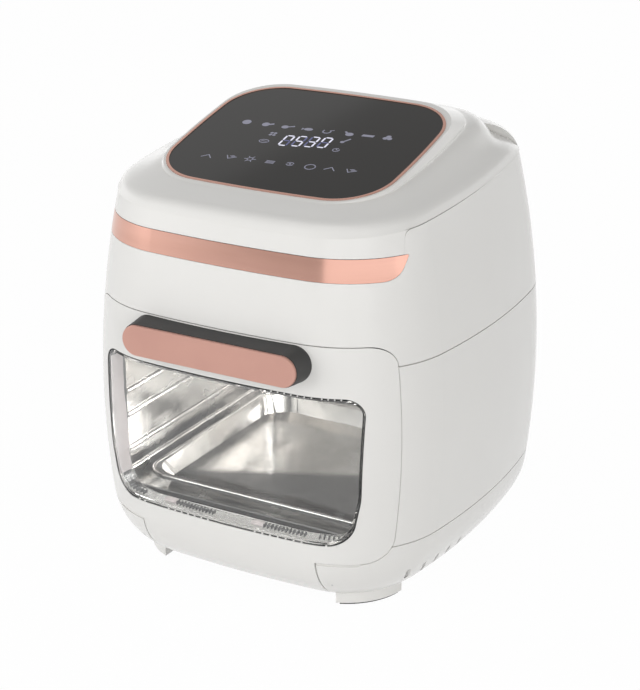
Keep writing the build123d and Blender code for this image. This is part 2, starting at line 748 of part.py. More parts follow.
def make_window_gasket():
    ring = front_prism(window_face(-GASKET_EDGE)) - front_prism(window_face(-WINDOW_GAP + GASKET_EDGE))
    return ring & (barrel(WINDOW_SINK) - barrel(WALL, INNER_START, BODY_TOP))


def upright_plate(half, z0, z1, radius, y0, y1):
    """A flat upright plate with rounded corners between two Y levels."""
    points = [(-half, z0), (half, z0), (half, z1), (-half, z1)]
    face = rounded(points, [radius] * 4)
    return Pos(0, y1, 0) * extrude(Plane.XZ * face, y1 - y0)


def make_door_inner_panel():
    plate = upright_plate(PANEL_HALF, PANEL_BOTTOM, PANEL_TOP, PANEL_R, PANEL_FRONT, PANEL_BACK)
    plate &= barrel(WALL + SLIP)
    sight = upright_plate(SIGHT_HALF, SIGHT_BOTTOM, SIGHT_TOP, SIGHT_R, PANEL_FRONT - 1, PANEL_BACK + 1)
    return plate - sight


def glass_plate(grow, y0, y1):
    """The inner glass's plate, which laps the sight opening all round."""
    lap = GLASS_LAP + grow
    return upright_plate(SIGHT_HALF + lap, SIGHT_BOTTOM - lap, SIGHT_TOP + lap, SIGHT_R, y0, y1)


def stadium(radius, y0, y1, end_radius=None):
    """A bar with round ends across the front, from Y y0 back to y1, tapering if asked."""
    near = SlotCenterToCenter(2 * HANDLE_X, 2 * radius)
    far = SlotCenterToCenter(2 * HANDLE_X, 2 * (end_radius or radius))
    front = Plane(origin=(0, y0, HANDLE_Z), x_dir=(1, 0, 0), z_dir=(0, -1, 0)) * near
    back = Plane(origin=(0, y1, HANDLE_Z), x_dir=(1, 0, 0), z_dir=(0, -1, 0)) * far
    return loft([back, front], ruled=True)


def make_handle_body():
    body = stadium(HANDLE_NOSE_R, HANDLE_SEAT, HANDLE_ROOT_Y, HANDLE_ROOT_R) - OUTER
    for x in (-HANDLE_SCREW_X, HANDLE_SCREW_X):
        body -= rod(SCREW_R + SCREW_FIT, (x, -150, HANDLE_Z), (x, HANDLE_SCREW_END - 2, HANDLE_Z))
    return body


def make_handle_plate():
    plate = stadium(HANDLE_R, HANDLE_FRONT, HANDLE_SEAT)
    front = plate.edges().filter_by_position(Axis.Y, HANDLE_FRONT - 0.1, HANDLE_FRONT + 0.1)
    return plate.fillet(PLATE_EDGE_R, front)


def screw(start, end):
    """A round-headed screw whose head seats at its start."""
    start, end = Vector(*start), Vector(*end)
    along = (end - start).normalized()
    head = rod(SCREW_HEAD_R, start - along * SCREW_HEAD_T, start)
    return head + rod(SCREW_R, start - along, end)


def make_handle_screws():
    spots = [s * HANDLE_SCREW_X for s in (-1, 1)]
    return group([screw((x, HANDLE_SCREW_SEAT, HANDLE_Z), (x, HANDLE_SCREW_END, HANDLE_Z)) for x in spots])


def make_hinge_pins():
    ends = [(s * PIN_INNER, s * PIN_OUTER) for s in (-1, 1)]
    return group([rod(PIN_R, (a, HINGE_Y, HINGE_Z), (b, HINGE_Y, HINGE_Z)) for a, b in ends])


def make_front_frame():
    rear = FRAME_FRONT + FRAME_T
    plate = barrel(WALL + SLIP)
    plate &= box(-REACH, REACH, FRAME_FRONT, rear, DOOR_BOTTOM - SEAM, LINER_TOP + FRAME_RISE)
    plate -= upright_plate(MOUTH_HALF, LINER_FLOOR, MOUTH_TOP, MOUTH_R, FRAME_FRONT - 1, rear + 1)
    for x in (-MAGNET_X, MAGNET_X):
        plate -= magnet_block(x, FRAME_FRONT - 1, rear + 1, MAGNET_FIT)
    bore_r = PLUNGER_R + PLUNGER_RUN
    plate -= rod(bore_r, (SWITCH_X, FRAME_FRONT - 1, SWITCH_Z), (SWITCH_X, rear + 1, SWITCH_Z))
    return plate - seal_ring(SEAL_FIT, SEAL_T + SEAL_FIT)


def magnet_block(x, y0, y1, grow):
    """A block in front of one magnet, grown sideways by a gap."""
    half_w = 0.5 * MAGNET_W + grow
    half_h = 0.5 * MAGNET_H + grow
    return box(x - half_w, x + half_w, y0, y1, MAGNET_Z - half_h, MAGNET_Z + half_h)


def seal_ring(grow, depth):
    """The ring round the cavity's mouth that the door closes on."""
    hole_low = LINER_FLOOR - SEAL_EDGE
    hole_high = MOUTH_TOP + SEAL_GAP
    hole_half = MOUTH_HALF + SEAL_GAP
    ring = upright_plate(hole_half + SEAL_W + grow, hole_low - SEAL_FOOT - grow, hole_high + SEAL_W + grow,
                         SEAL_R + SEAL_W, FRAME_FRONT - SEAL_PROUD, FRAME_FRONT + depth)
    return ring - upright_plate(hole_half - grow, hole_low + grow, hole_high - grow, SEAL_R,
                                FRAME_FRONT - 2, FRAME_FRONT + 8)


def make_magnets():
    blocks = [magnet_block(x, FRAME_FRONT, FRAME_FRONT + FRAME_T, 0.0) for x in (-MAGNET_X, MAGNET_X)]
    return group(blocks)


def make_strikes():
    blocks = [magnet_block(x, PANEL_FRONT - STRIKE_T, PANEL_FRONT, 0.0) for x in (-MAGNET_X, MAGNET_X)]
    return group(blocks)


def make_liner():
    outer = box(-LINER_HALF, LINER_HALF, LINER_FRONT, LINER_REAR, LINER_FLOOR - SHEET, LINER_TOP)
    rear_edges = outer.edges().filter_by(Axis.Z).sort_by(Axis.Y)[-2:]
    outer = outer.fillet(LINER_R, rear_edges)
    inner_half = LINER_HALF - SHEET
    inner = box(-inner_half, inner_half, LINER_FRONT - 1, LINER_REAR - SHEET, LINER_FLOOR, LINER_TOP + 1)
    rear_edges = inner.edges().filter_by(Axis.Z).sort_by(Axis.Y)[-2:]
    inner = inner.fillet(LINER_R - SHEET, rear_edges)
    shell = outer - inner
    for z in RAIL_LEVELS:
        for s in (-1, 1):
            x = s * (LINER_HALF - SHEET)
            rail = rod(RAIL_R, (x, RAIL_FRONT, z), (x, RAIL_REAR, z))
            rail += Pos(x, RAIL_FRONT, z) * Sphere(RAIL_R)
            rail += Pos(x, RAIL_REAR, z) * Sphere(RAIL_R)
            shell += rail & outer
    shell -= rod(SOCKET_R + 0.6, (LINER_HALF - 6, FAN_Y, SPIT_Z), (LINER_HALF + 6, FAN_Y, SPIT_Z))
    shell -= rod(LAMP_R - 3, (LINER_HALF - 6, LAMP_Y, LAMP_Z), (LINER_HALF + 6, LAMP_Y, LAMP_Z))
    return shell


def make_heat_shield():
    half = LINER_HALF + SHIELD_LAP
    front = FRAME_FRONT + FRAME_T
    plate = box(-half, half, front, LINER_REAR + 2 * SHIELD_LAP, LINER_TOP, LINER_TOP + SHEET)
    plate &= barrel(WALL + SLIP + TONGUE_WALL + SLIP)
    plate -= rod(SHAFT_R + 2, (0, FAN_Y, LINER_TOP - 5), (0, FAN_Y, LINER_TOP + 5))
    for s in (-1, 1):
        plate -= rod(ELEMENT_R + 0.1, (s * ELEMENT_LEAD_X, LEAD_Y, LINER_TOP - 5),
                     (s * ELEMENT_LEAD_X, LEAD_Y, LINER_TOP + 5))
    plate -= rod(PROBE_R + 0.1, (-PROBE_X, FAN_Y, LINER_TOP - 5), (-PROBE_X, FAN_Y, LINER_TOP + 5))
    return plate


def make_fan_guard():
    half = LINER_HALF - SHEET
    plate = box(-half, half, LINER_FRONT, LINER_REAR - SHEET, GUARD_Z, GUARD_Z + SHEET)
    rear_edges = plate.edges().filter_by(Axis.Z).sort_by(Axis.Y)[-2:]
    plate = plate.fillet(LINER_R - SHEET, rear_edges)
    for i in range(1, GUARD_RINGS + 1):
        radius = i * GUARD_RING_STEP
        cut = Cylinder(radius + GUARD_SLOT / 2, 8) - Cylinder(radius - GUARD_SLOT / 2, 8)
        cut -= Box(4 * radius, 5, 10)
        cut -= Box(5, 4 * radius, 10)
        plate -= Pos(0, FAN_Y, GUARD_Z) * cut
    return plate


def make_heating_element():
    gap = math.degrees(math.asin(ELEMENT_LEAD_X / ELEMENT_RING_R))
    path = CenterArc((0, FAN_Y, ELEMENT_Z), ELEMENT_RING_R, 90 + gap, 360 - 2 * gap)
    start = path @ 0
    ring = sweep(Plane(origin=start, z_dir=path % 0) * Circle(ELEMENT_R), path)
    for point in (path @ 0, path @ 1):
        ring += Pos(*point) * Sphere(ELEMENT_R)
        ring += rod(ELEMENT_R, (point.X, point.Y, ELEMENT_Z), (point.X, point.Y, LINER_TOP + 14))
    return ring


def make_element_clips():
    clips = []
    for angle in (0, 180, 270):
        block = box(ELEMENT_RING_R - CLIP_W / 2, ELEMENT_RING_R + CLIP_W / 2, -CLIP_W / 2, CLIP_W / 2,
                    ELEMENT_Z - ELEMENT_R - 1.5, LINER_TOP)
        bore = rod(ELEMENT_R + 0.1, (ELEMENT_RING_R, -CLIP_W, ELEMENT_Z), (ELEMENT_RING_R, CLIP_W, ELEMENT_Z))
        ring = Pos(0, 0, ELEMENT_Z) * Torus(ELEMENT_RING_R, ELEMENT_R + 0.15)
        clips.append(Pos(0, FAN_Y, 0) * Rot(0, 0, angle) * (block - bore - ring))
    return group(clips)


def make_motor_bracket():
    plate = box(-BRACKET_HALF, BRACKET_HALF, FAN_Y - BRACKET_HALF, FAN_Y + BRACKET_HALF,
                MOTOR_BOTTOM - BRACKET_T, MOTOR_BOTTOM)
    for sx in (-1, 1):
        for sy in (-1, 1):
            x, y = sx * (BRACKET_HALF - 6), FAN_Y + sy * (BRACKET_HALF - 6)
            plate += rod(4.0, (x, y, LINER_TOP + SHEET), (x, y, MOTOR_BOTTOM - 1))
    return plate - rod(SHAFT_R + 1, (0, FAN_Y, MOTOR_BOTTOM - 10), (0, FAN_Y, MOTOR_BOTTOM + 10))


def make_fan_motor():
    can = rod(MOTOR_R, (0, FAN_Y, MOTOR_BOTTOM), (0, FAN_Y, MOTOR_TOP))
    can = can.fillet(3.0, can.edges())
    can += box(-MOTOR_R - 9, MOTOR_R + 9, FAN_Y - 9, FAN_Y + 9, MOTOR_BOTTOM, MOTOR_BOTTOM + 3)
    return can - rod(SHAFT_R + SHAFT_RUN, (0, FAN_Y, MOTOR_BOTTOM - 5), (0, FAN_Y, MOTOR_TOP + 5))


def make_motor_shaft():
    return rod(SHAFT_R, (0, FAN_Y, SHAFT_BOTTOM), (0, FAN_Y, SHAFT_TOP))


def make_wheel(radius, z0, height, blades, lean):
    """A fan wheel: a hub, a disc and a ring of leaning blades."""
    wheel = Cylinder(HUB_R, height, align=(Align.CENTER, Align.CENTER, Align.MIN))
    wheel += Cylinder(radius * 0.72, 1.0, align=(Align.CENTER, Align.CENTER, Align.MIN))
    for i in range(blades):
        blade = Pos(radius * 0.70, 0, height / 2) * Rot(0, 0, lean) * Box(radius * 0.66, 1.0, height)
        wheel += Rot(0, 0, 360 * i / blades) * blade
    wheel &= Cylinder(radius, height, align=(Align.CENTER, Align.CENTER, Align.MIN))
    wheel -= Cylinder(SHAFT_R + SHAFT_SEAT, 4 * height)
    return Pos(0, FAN_Y, z0) * wheel


def make_fan_nut():
    nut = extrude(RegularPolygon(7.0, 6), 4.0) - Cylinder(SHAFT_R + SHAFT_SEAT, 20)
    return Pos(0, FAN_Y, FAN_Z - 4.0) * nut


def make_probe():
    stem = rod(PROBE_R, (-PROBE_X, FAN_Y, PROBE_TIP), (-PROBE_X, FAN_Y, LINER_TOP + 12))
    seat = LINER_TOP + SHEET
    return stem + rod(PROBE_R + 2, (-PROBE_X, FAN_Y, seat), (-PROBE_X, FAN_Y, seat + 5))


def make_spit_motor():
    x0 = LINER_HALF
    body = box(x0, SPIT_MOTOR_OUT, FAN_Y - SPIT_MOTOR_HALF, FAN_Y + SPIT_MOTOR_HALF,
               SPIT_Z - SPIT_MOTOR_HALF, SPIT_Z + SPIT_MOTOR_HALF)
    body = body.fillet(4.0, body.edges().filter_by(Axis.X))
    body -= rod(SOCKET_R + 1, (x0 - 1, FAN_Y, SPIT_Z), (x0 + 6, FAN_Y, SPIT_Z))
    return body - rod(SHAFT_R + SHAFT_RUN, (x0 - 1, FAN_Y, SPIT_Z), (SPIT_MOTOR_OUT - 4, FAN_Y, SPIT_Z))


def make_spit_socket():
    socket = rod(SOCKET_R, (SOCKET_IN, FAN_Y, SPIT_Z), (LINER_HALF + 5, FAN_Y, SPIT_Z))
    socket += rod(SHAFT_R, (LINER_HALF + 4, FAN_Y, SPIT_Z), (SPIT_MOTOR_OUT - 5, FAN_Y, SPIT_Z))
    half = SOCKET_SQUARE / 2
    inner = SOCKET_IN + SOCKET_DEPTH
    return socket - box(SOCKET_IN - 1, inner, FAN_Y - half, FAN_Y + half, SPIT_Z - half, SPIT_Z + half)


def make_lamp_housing():
    cup = rod(LAMP_R, (LINER_HALF, LAMP_Y, LAMP_Z), (LAMP_OUT, LAMP_Y, LAMP_Z))
    cup -= rod(LAMP_R - 2, (LINER_HALF - 1, LAMP_Y, LAMP_Z), (LAMP_OUT - 2, LAMP_Y, LAMP_Z))
    return cup


def make_lamp_bulb():
    bulb = rod(BULB_R, (LAMP_OUT - BULB_L, LAMP_Y, LAMP_Z), (LAMP_OUT - 2, LAMP_Y, LAMP_Z))
    return bulb.fillet(0.5 * BULB_R, bulb.edges())


def make_lamp_glass():
    lens = rod(LAMP_R - 3.1, (LINER_HALF - SHEET - 1.2, LAMP_Y, LAMP_Z), (LINER_HALF, LAMP_Y, LAMP_Z))
    return lens + rod(LAMP_R - 2.1, (LINER_HALF, LAMP_Y, LAMP_Z), (LINER_HALF + 1.4, LAMP_Y, LAMP_Z))


def make_switch_body():
    y0 = FRAME_FRONT + FRAME_T
    body = box(SWITCH_X - 9, SWITCH_X + 9, y0, y0 + 13, SWITCH_Z - 6, SWITCH_Z + 6)
    bore = rod(PLUNGER_R + PLUNGER_RUN, (SWITCH_X, y0 - 1, SWITCH_Z), (SWITCH_X, PLUNGER_END + 0.5, SWITCH_Z))
    return body - bore


def make_switch_plunger():
    tip = PANEL_BACK + PLUNGER_TIP_GAP
    return rod(PLUNGER_R, (SWITCH_X, tip, SWITCH_Z), (SWITCH_X, PLUNGER_END, SWITCH_Z))


def tray_pan(inset, low, high):
    """The tapered pan of the tray as a solid, drawn in by an inset."""
    half_w = TRAY_HALF - TRAY_LIP - inset
    half_d = 0.5 * (TRAY_REAR - TRAY_FRONT) - TRAY_LIP - inset
    mid_y = 0.5 * (TRAY_FRONT + TRAY_REAR)
    corner = TRAY_R - inset
    top = RectangleRounded(2 * half_w, 2 * half_d, corner)
    foot = RectangleRounded(2 * (half_w - TRAY_DRAFT), 2 * (half_d - TRAY_DRAFT), corner)
    return loft([Pos(0, mid_y, low) * foot, Pos(0, mid_y, high) * top], ruled=True)


def make_tray():
    z0 = LINER_FLOOR + TRAY_CLEAR
    lip = RectangleRounded(2 * TRAY_HALF, TRAY_REAR - TRAY_FRONT, TRAY_R)
    mid_y = 0.5 * (TRAY_FRONT + TRAY_REAR)
    body = tray_pan(0.0, z0, TRAY_RIM_Z)
    body += Pos(0, mid_y, TRAY_RIM_Z - TRAY_LIP_T) * extrude(lip, TRAY_LIP_T)
    return body - tray_pan(TRAY_SHEET, z0 + TRAY_SHEET, TRAY_RIM_Z + 0.02)


def make_carrier():
    top = PANEL_GLASS_T
    ring = panel_slab(RIM_W, top, top + CARRIER_T)
    return ring - panel_slab(RIM_W - CARRIER_W, top - 1, top + CARRIER_T + 1)


def make_control_board():
    top = PANEL_GLASS_T + CARRIER_T
    return panel_slab(-BOARD_INSET, top, top + BOARD_T)


def make_display_module():
    plane = panel_plane(PANEL_GLASS_T + CARRIER_T)
    return extrude(plane * Rectangle(DISPLAY_W, DISPLAY_D), CARRIER_T)


def make_power_board():
    board = box(POWER_X0, POWER_X1, POWER_Y0, POWER_Y1, POWER_Z, POWER_Z + BOARD_T)
    top = POWER_Z + BOARD_T
    for x, y, width, depth in CHIPS:
        x0, y0 = POWER_X0 + x, POWER_Y0 + y
        board += box(x0, x0 + width, y0, y0 + depth, top - CHIP_SEAT, top + CHIP_H)
    x, y = POWER_X0 + CAPACITOR[0], POWER_Y0 + CAPACITOR[1]
    board += rod(CAPACITOR_R, (x, y, top - CHIP_SEAT), (x, y, top + CHIP_H + CAPACITOR_RISE))
    return board


def make_standoffs():
    posts = []
    for x in (POWER_X0 + STANDOFF_INSET, POWER_X1 - STANDOFF_INSET):
        for y in (POWER_Y0 + STANDOFF_INSET, POWER_Y1 - STANDOFF_INSET):
            posts.append(rod(STANDOFF_R, (x, y, LINER_TOP + SHEET), (x, y, POWER_Z)))
    return group(posts)


def make_gland():
    gland = rod(GLAND_R, (GLAND_X, GLAND_IN_Y, GLAND_Z), (GLAND_X, GLAND_OUT_Y, GLAND_Z))
    gland = gland.fillet(1.0, gland.edges().sort_by(Axis.Y)[-1:])
    return gland - rod(GLAND_BORE_R, (GLAND_X, GLAND_IN_Y - 1, GLAND_Z), (GLAND_X, GLAND_OUT_Y + 1, GLAND_Z))


def make_base_screws():
    seat = BODY_BOTTOM + SCREW_HEAD_T
    return group([
        screw((s * POST_X, y, seat), (s * POST_X, y, LINER_FLOOR - 8))
        for s in (-1, 1) for y in (POST_FRONT_Y, POST_REAR_Y)])


def make_rear_screws():
    y = REAR_SCREW_SEAT
    spots = (-REAR_SCREW_X, REAR_SCREW_X)
    return group([screw((x, y, REAR_SCREW_Z), (x, y - REAR_SCREW_L, REAR_SCREW_Z)) for x in spots])


def make_panel_rim():
    return panel_slab(RIM_W, -RIM_PROUD, PANEL_GLASS_T) - panel_slab(RIM_FIT, -2, PANEL_GLASS_T + 1)


NODES = {
    "base": make_base,
    "foot_pads": make_foot_pads,
    "lower_housing": make_lower_housing,
    "upper_housing": make_upper_housing,
    "top_cover": make_top_cover,
    "rear_cover": make_rear_cover,
    "trim_band": make_trim_band,
    "panel_rim": make_panel_rim,
    "panel_glass": lambda: panel_slab(0.0, 0.0, PANEL_GLASS_T),
    "panel_carrier": make_carrier,
    "control_board": make_control_board,
    "display_module": make_display_module,
    "power_board": make_power_board,
    "board_standoffs": make_standoffs,
    "cord_gland": make_gland,
    "front_frame": make_front_frame,
    "cavity_seal": lambda: seal_ring(0.0, SEAL_T),
    "door_magnets": make_magnets,
    "oven_liner": make_liner,
    "heat_shield": make_heat_shield,
    "fan_guard": make_fan_guard,
    "heating_element": make_heating_element,
    "element_clips": make_element_clips,
    "motor_bracket": make_motor_bracket,
    "fan_motor": make_fan_motor,
    "temperature_probe": make_probe,
    "spit_motor": make_spit_motor,
    "lamp_housing": make_lamp_housing,
    "lamp_bulb": make_lamp_bulb,
    "lamp_glass": make_lamp_glass,
    "switch_body": make_switch_body,
    "hinge_pins": make_hinge_pins,
    "base_screws": make_base_screws,
    "rear_screws": make_rear_screws,
    "motor_shaft": make_motor_shaft,
    "convection_fan": lambda: make_wheel(FAN_R, FAN_Z, FAN_H, FAN_BLADES, 35),
    "cooling_fan": lambda: make_wheel(COOLER_R, COOLER_Z, COOLER_H, COOLER_BLADES, 25),
    "fan_nut": make_fan_nut,
    "spit_socket": make_spit_socket,
    "switch_plunger": make_switch_plunger,
    "drip_tray": make_tray,
    "door_shell": make_door_shell,
    "door_window": make_door_window,
    "window_gasket": make_window_gasket,
    "door_inner_panel": make_door_inner_panel,
    "door_inner_glass": lambda: glass_plate(0.0, PANEL_FRONT - GLASS_T, PANEL_FRONT),
    "door_strikes": make_strikes,
    "handle_body": make_handle_body,
    "handle_plate": make_handle_plate,
    "handle_screws": make_handle_screws,
}

os.makedirs("parts", exist_ok=True)
for name, make in NODES.items():
    export_step(Pos(0, SHIFT_Y, 0) * make(), f"parts/{name}.step")
    print("wrote", name)
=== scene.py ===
import json
import math

import bmesh
import bpy
from mathutils import Matrix, Vector

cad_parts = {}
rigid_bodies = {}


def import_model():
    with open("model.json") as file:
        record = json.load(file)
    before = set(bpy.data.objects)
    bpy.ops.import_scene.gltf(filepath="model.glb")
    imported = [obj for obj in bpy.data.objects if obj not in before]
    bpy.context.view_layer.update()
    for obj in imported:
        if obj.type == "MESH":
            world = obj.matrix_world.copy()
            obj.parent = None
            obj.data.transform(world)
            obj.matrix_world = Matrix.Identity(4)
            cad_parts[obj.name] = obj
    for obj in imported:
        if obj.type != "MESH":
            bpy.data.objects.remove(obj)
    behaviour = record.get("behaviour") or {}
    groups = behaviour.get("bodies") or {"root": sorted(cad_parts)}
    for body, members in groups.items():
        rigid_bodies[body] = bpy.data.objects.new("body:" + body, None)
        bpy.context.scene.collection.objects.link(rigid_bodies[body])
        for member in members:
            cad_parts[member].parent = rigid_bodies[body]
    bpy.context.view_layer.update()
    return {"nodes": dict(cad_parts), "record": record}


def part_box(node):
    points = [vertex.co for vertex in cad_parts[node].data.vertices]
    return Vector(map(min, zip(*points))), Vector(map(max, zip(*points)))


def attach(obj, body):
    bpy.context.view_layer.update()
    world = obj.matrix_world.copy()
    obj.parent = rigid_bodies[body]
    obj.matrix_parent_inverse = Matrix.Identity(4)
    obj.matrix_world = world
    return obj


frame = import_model()
MM = 0.001

# Camera: the photograph's angle, found from the seams and edges of the body
CAM_AZIMUTH = 29.69
CAM_ELEVATION = 21.11
CAM_SIDE = -3.36 * MM
CAM_HEIGHT = 168.3 * MM
CAM_DISTANCE = 1618.2 * MM
CAM_CLIP = (0.05, 30.0)
FOCAL_PX = 1887.6
IMAGE_HEIGHT = 690
SENSOR = 36.0

# Body form, as in the part's source
HALF_WIDTH = 162.7
HALF_DEPTH = 169.8
FRONT_BOW = 14.0
SIDE_BOW = 24.0
CORNER_R = 94.0
WIDEST_Z = 150.0
BARREL_R = 780.0
SHIFT_Y = 6.75

# Control panel, and how far its prints stand out of the glass and reach into it
PANEL_TILT = math.radians(13.767)
PANEL_NORMAL = Vector((0, -math.sin(PANEL_TILT), math.cos(PANEL_TILT)))
PANEL_SLOPE = Vector((0, math.cos(PANEL_TILT), math.sin(PANEL_TILT)))
PANEL_THICK = 2.9
INK = 0.12
INK_SINK = 0.02


def clear_defaults():
    for obj in list(bpy.data.objects):
        if obj.name in ("Cube", "Light", "Camera"):
            bpy.data.objects.remove(obj)


def front_y(x, z, depth=0.0):
    """Y of the body's front surface in millimetres, less a depth."""
    r_front = (HALF_WIDTH ** 2 + FRONT_BOW ** 2) / (2 * FRONT_BOW)
    r_side = (HALF_DEPTH ** 2 + SIDE_BOW ** 2) / (2 * SIDE_BOW)
    cy, cx = HALF_DEPTH - r_front, HALF_WIDTH - r_side
    a, b = r_front - CORNER_R, r_side - CORNER_R
    span = math.hypot(cx, cy)
    along = (a * a - b * b + span * span) / (2 * span)
    across = math.sqrt(a * a - along * along)
    ex, ey = cx / span, -cy / span
    centres = [(ex * along - s * ey * across, cy + ey * along + s * ex * across) for s in (1, -1)]
    kx, ky = max(centres, key=sum)
    inset = BARREL_R - math.sqrt(BARREL_R ** 2 - (z - WIDEST_Z) ** 2) + depth
    join = kx / (r_front - CORNER_R) * (r_front - inset)
    if abs(x) < join:
        y = cy + math.sqrt((r_front - inset) ** 2 - x * x)
    else:
        y = ky + math.sqrt(max((CORNER_R - inset) ** 2 - (abs(x) - kx) ** 2, 0.0))
    return -y + SHIFT_Y


# Nodes that the materials and the world share

# The part of a noise's range that is spread over a colour or a roughness
NOISE_RANGE = (0.3, 0.7)


def feed(tree, value, socket):
    """Sets a socket to a number, or links another node's output to it."""
    if isinstance(value, (int, float)):
        socket.default_value = value
    else:
        tree.links.new(value, socket)


def remap(tree, value, source, target, gentle=False):
    """Takes a value from one range to another and holds it at the ends."""
    node = tree.nodes.new("ShaderNodeMapRange")
    node.interpolation_type = "SMOOTHSTEP" if gentle else "LINEAR"
    feed(tree, value, node.inputs["Value"])
    for side, ends in (("From", source), ("To", target)):
        feed(tree, ends[0], node.inputs[side + " Min"])
        feed(tree, ends[1], node.inputs[side + " Max"])
    return node.outputs["Result"]


def blend(tree, factor, first, second):
    """Goes from the first value to the second by a factor from nought to one."""
    return remap(tree, factor, (0.0, 1.0), (first, second))


def reckon(tree, operation, *values):
    """One step of arithmetic on numbers and other nodes' outputs."""
    node = tree.nodes.new("ShaderNodeMath")
    node.operation = operation
    for value, socket in zip(values, node.inputs):
        feed(tree, value, socket)
    return node.outputs["Value"]


def mix_shaders(tree, factor, first, second):
    """Gives the material's surface a mix of two shaders."""
    mix = tree.nodes.new("ShaderNodeMixShader")
    tree.links.new(factor, mix.inputs["Fac"])
    tree.links.new(first, mix.inputs[1])
    tree.links.new(second, mix.inputs[2])
    tree.links.new(mix.outputs["Shader"], tree.nodes["Material Output"].inputs["Surface"])


def seen_mask(tree):
    """One for camera, mirror and glass rays, nought for light that falls on things."""
    path = tree.nodes.new("ShaderNodeLightPath")
    total = path.outputs["Is Camera Ray"]
    for key in ("Is Glossy Ray", "Is Transmission Ray"):
        total = reckon(tree, "MAXIMUM", total, path.outputs[key])
    return total


# Materials

# Body plastic
WHITE = (0.80, 0.79, 0.765)
WHITE_LIGHT = (0.815, 0.805, 0.78)

# Clear pieces: the scale of their noise, and how much paler the light through them is
CLEAR_SCALE = 60.0
CLEAR_LIFT = 0.02

# Glowing ink: its unlit colour, the share of its dimmer spots, its noise and its roughness
INK_BASE = (0.03, 0.03, 0.035)
INK_DIM = 0.85
INK_SCALE = 900.0
INK_ROUGH = (0.3, 0.4)

# Steel: the roughness drifts at a finer scale than the colour, over a fine grain
ROUGH_SCALE = 1.7
GRAIN_SCALE = 55.0
GRAIN_STRENGTH = 0.16
GRAIN_DEPTH = 0.0012

# Painted shade that darkens the front of the tray's floor: its edge along Y, its slant, its softness, its
# colour, and how level a face has to be to count as floor
FLOOR_SHADE_EDGE = -22.0
FLOOR_SHADE_SLANT = 0.46
FLOOR_SHADE_BLUR = 14.0
FLOOR_SHADE_TONE = (0.072, 0.066, 0.063)
FLOOR_LEVEL = (0.90, 0.98)


def new_material(name):
    mat = bpy.data.materials.new(name)
    mat.use_nodes = True
    tree = mat.node_tree
    return mat, tree, tree.nodes["Principled BSDF"]


def noise(tree, scale, detail=3.0, stretch=(1, 1, 1)):
    """Noise in object space, stretched along chosen axes."""
    coords = tree.nodes.new("ShaderNodeTexCoord")
    mapping = tree.nodes.new("ShaderNodeMapping")
    mapping.inputs["Scale"].default_value = stretch
    tex = tree.nodes.new("ShaderNodeTexNoise")
    tex.inputs["Scale"].default_value = scale
    tex.inputs["Detail"].default_value = detail
    tree.links.new(coords.outputs["Object"], mapping.inputs["Vector"])
    tree.links.new(mapping.outputs["Vector"], tex.inputs["Vector"])
    return tex.outputs["Fac"]


def tint(tree, value, dark, light):
    """Blends two colours by a noise value."""
    ramp = tree.nodes.new("ShaderNodeValToRGB")
    for stop, place, colour in zip(ramp.color_ramp.elements, NOISE_RANGE, (dark, light)):
        stop.position = place
        stop.color = (*colour, 1)
    tree.links.new(value, ramp.inputs["Fac"])
    return ramp.outputs["Color"]


def bump(tree, shader, value, strength, distance):
    node = tree.nodes.new("ShaderNodeBump")
    node.inputs["Strength"].default_value = strength
    node.inputs["Distance"].default_value = distance
    tree.links.new(value, node.inputs["Height"])
    tree.links.new(node.outputs["Normal"], shader.inputs["Normal"])


def surface(name, dark, light, rough, metal=0.0, scale=40.0, stretch=(1, 1, 1), bumps=None, **sockets):
    """A procedural material whose colour and roughness drift with noise.

    Bumps are given by their strength, their depth and the scale of their noise.
    """
    mat, tree, shader = new_material(name)
    drift = noise(tree, scale, stretch=stretch)
    tree.links.new(tint(tree, drift, dark, light), shader.inputs["Base Color"])
    tree.links.new(remap(tree, drift, NOISE_RANGE, rough), shader.inputs["Roughness"])
    shader.inputs["Metallic"].default_value = metal
    if bumps:
        strength, depth, fine = bumps
        bump(tree, shader, noise(tree, fine, 2.0, stretch), strength, depth)
    for key, val in sockets.items():
        shader.inputs[key.replace("_", " ")].default_value = val
    return mat


def clear(name, tone, rough, ior=1.46):
    """Clear plastic or glass that lets lamp light through."""
    mat, tree, shader = new_material(name)
    shader.inputs["Base Color"].default_value = (*tone, 1)
    shader.inputs["Transmission Weight"].default_value = 1.0
    shader.inputs["IOR"].default_value = ior
    drift = remap(tree, noise(tree, CLEAR_SCALE), NOISE_RANGE, rough)
    tree.links.new(drift, shader.inputs["Roughness"])
    path = tree.nodes.new("ShaderNodeLightPath")
    through = tree.nodes.new("ShaderNodeBsdfTransparent")
    through.inputs["Color"].default_value = (*[min(1.0, t + CLEAR_LIFT) for t in tone], 1)
    mix_shaders(tree, path.outputs["Is Shadow Ray"], shader.outputs["BSDF"], through.outputs["BSDF"])
    return mat


def lit(name, colour, strength):
    """Ink that glows through the dark glass."""
    mat, tree, shader = new_material(name)
    drift = noise(tree, INK_SCALE, 1.0)
    dim = [c * INK_DIM for c in colour]
    shader.inputs["Base Color"].default_value = (*INK_BASE, 1)
    tree.links.new(tint(tree, drift, dim, colour), shader.inputs["Emission Color"])
    shader.inputs["Emission Strength"].default_value = strength
    tree.links.new(remap(tree, drift, NOISE_RANGE, INK_ROUGH), shader.inputs["Roughness"])
    return mat


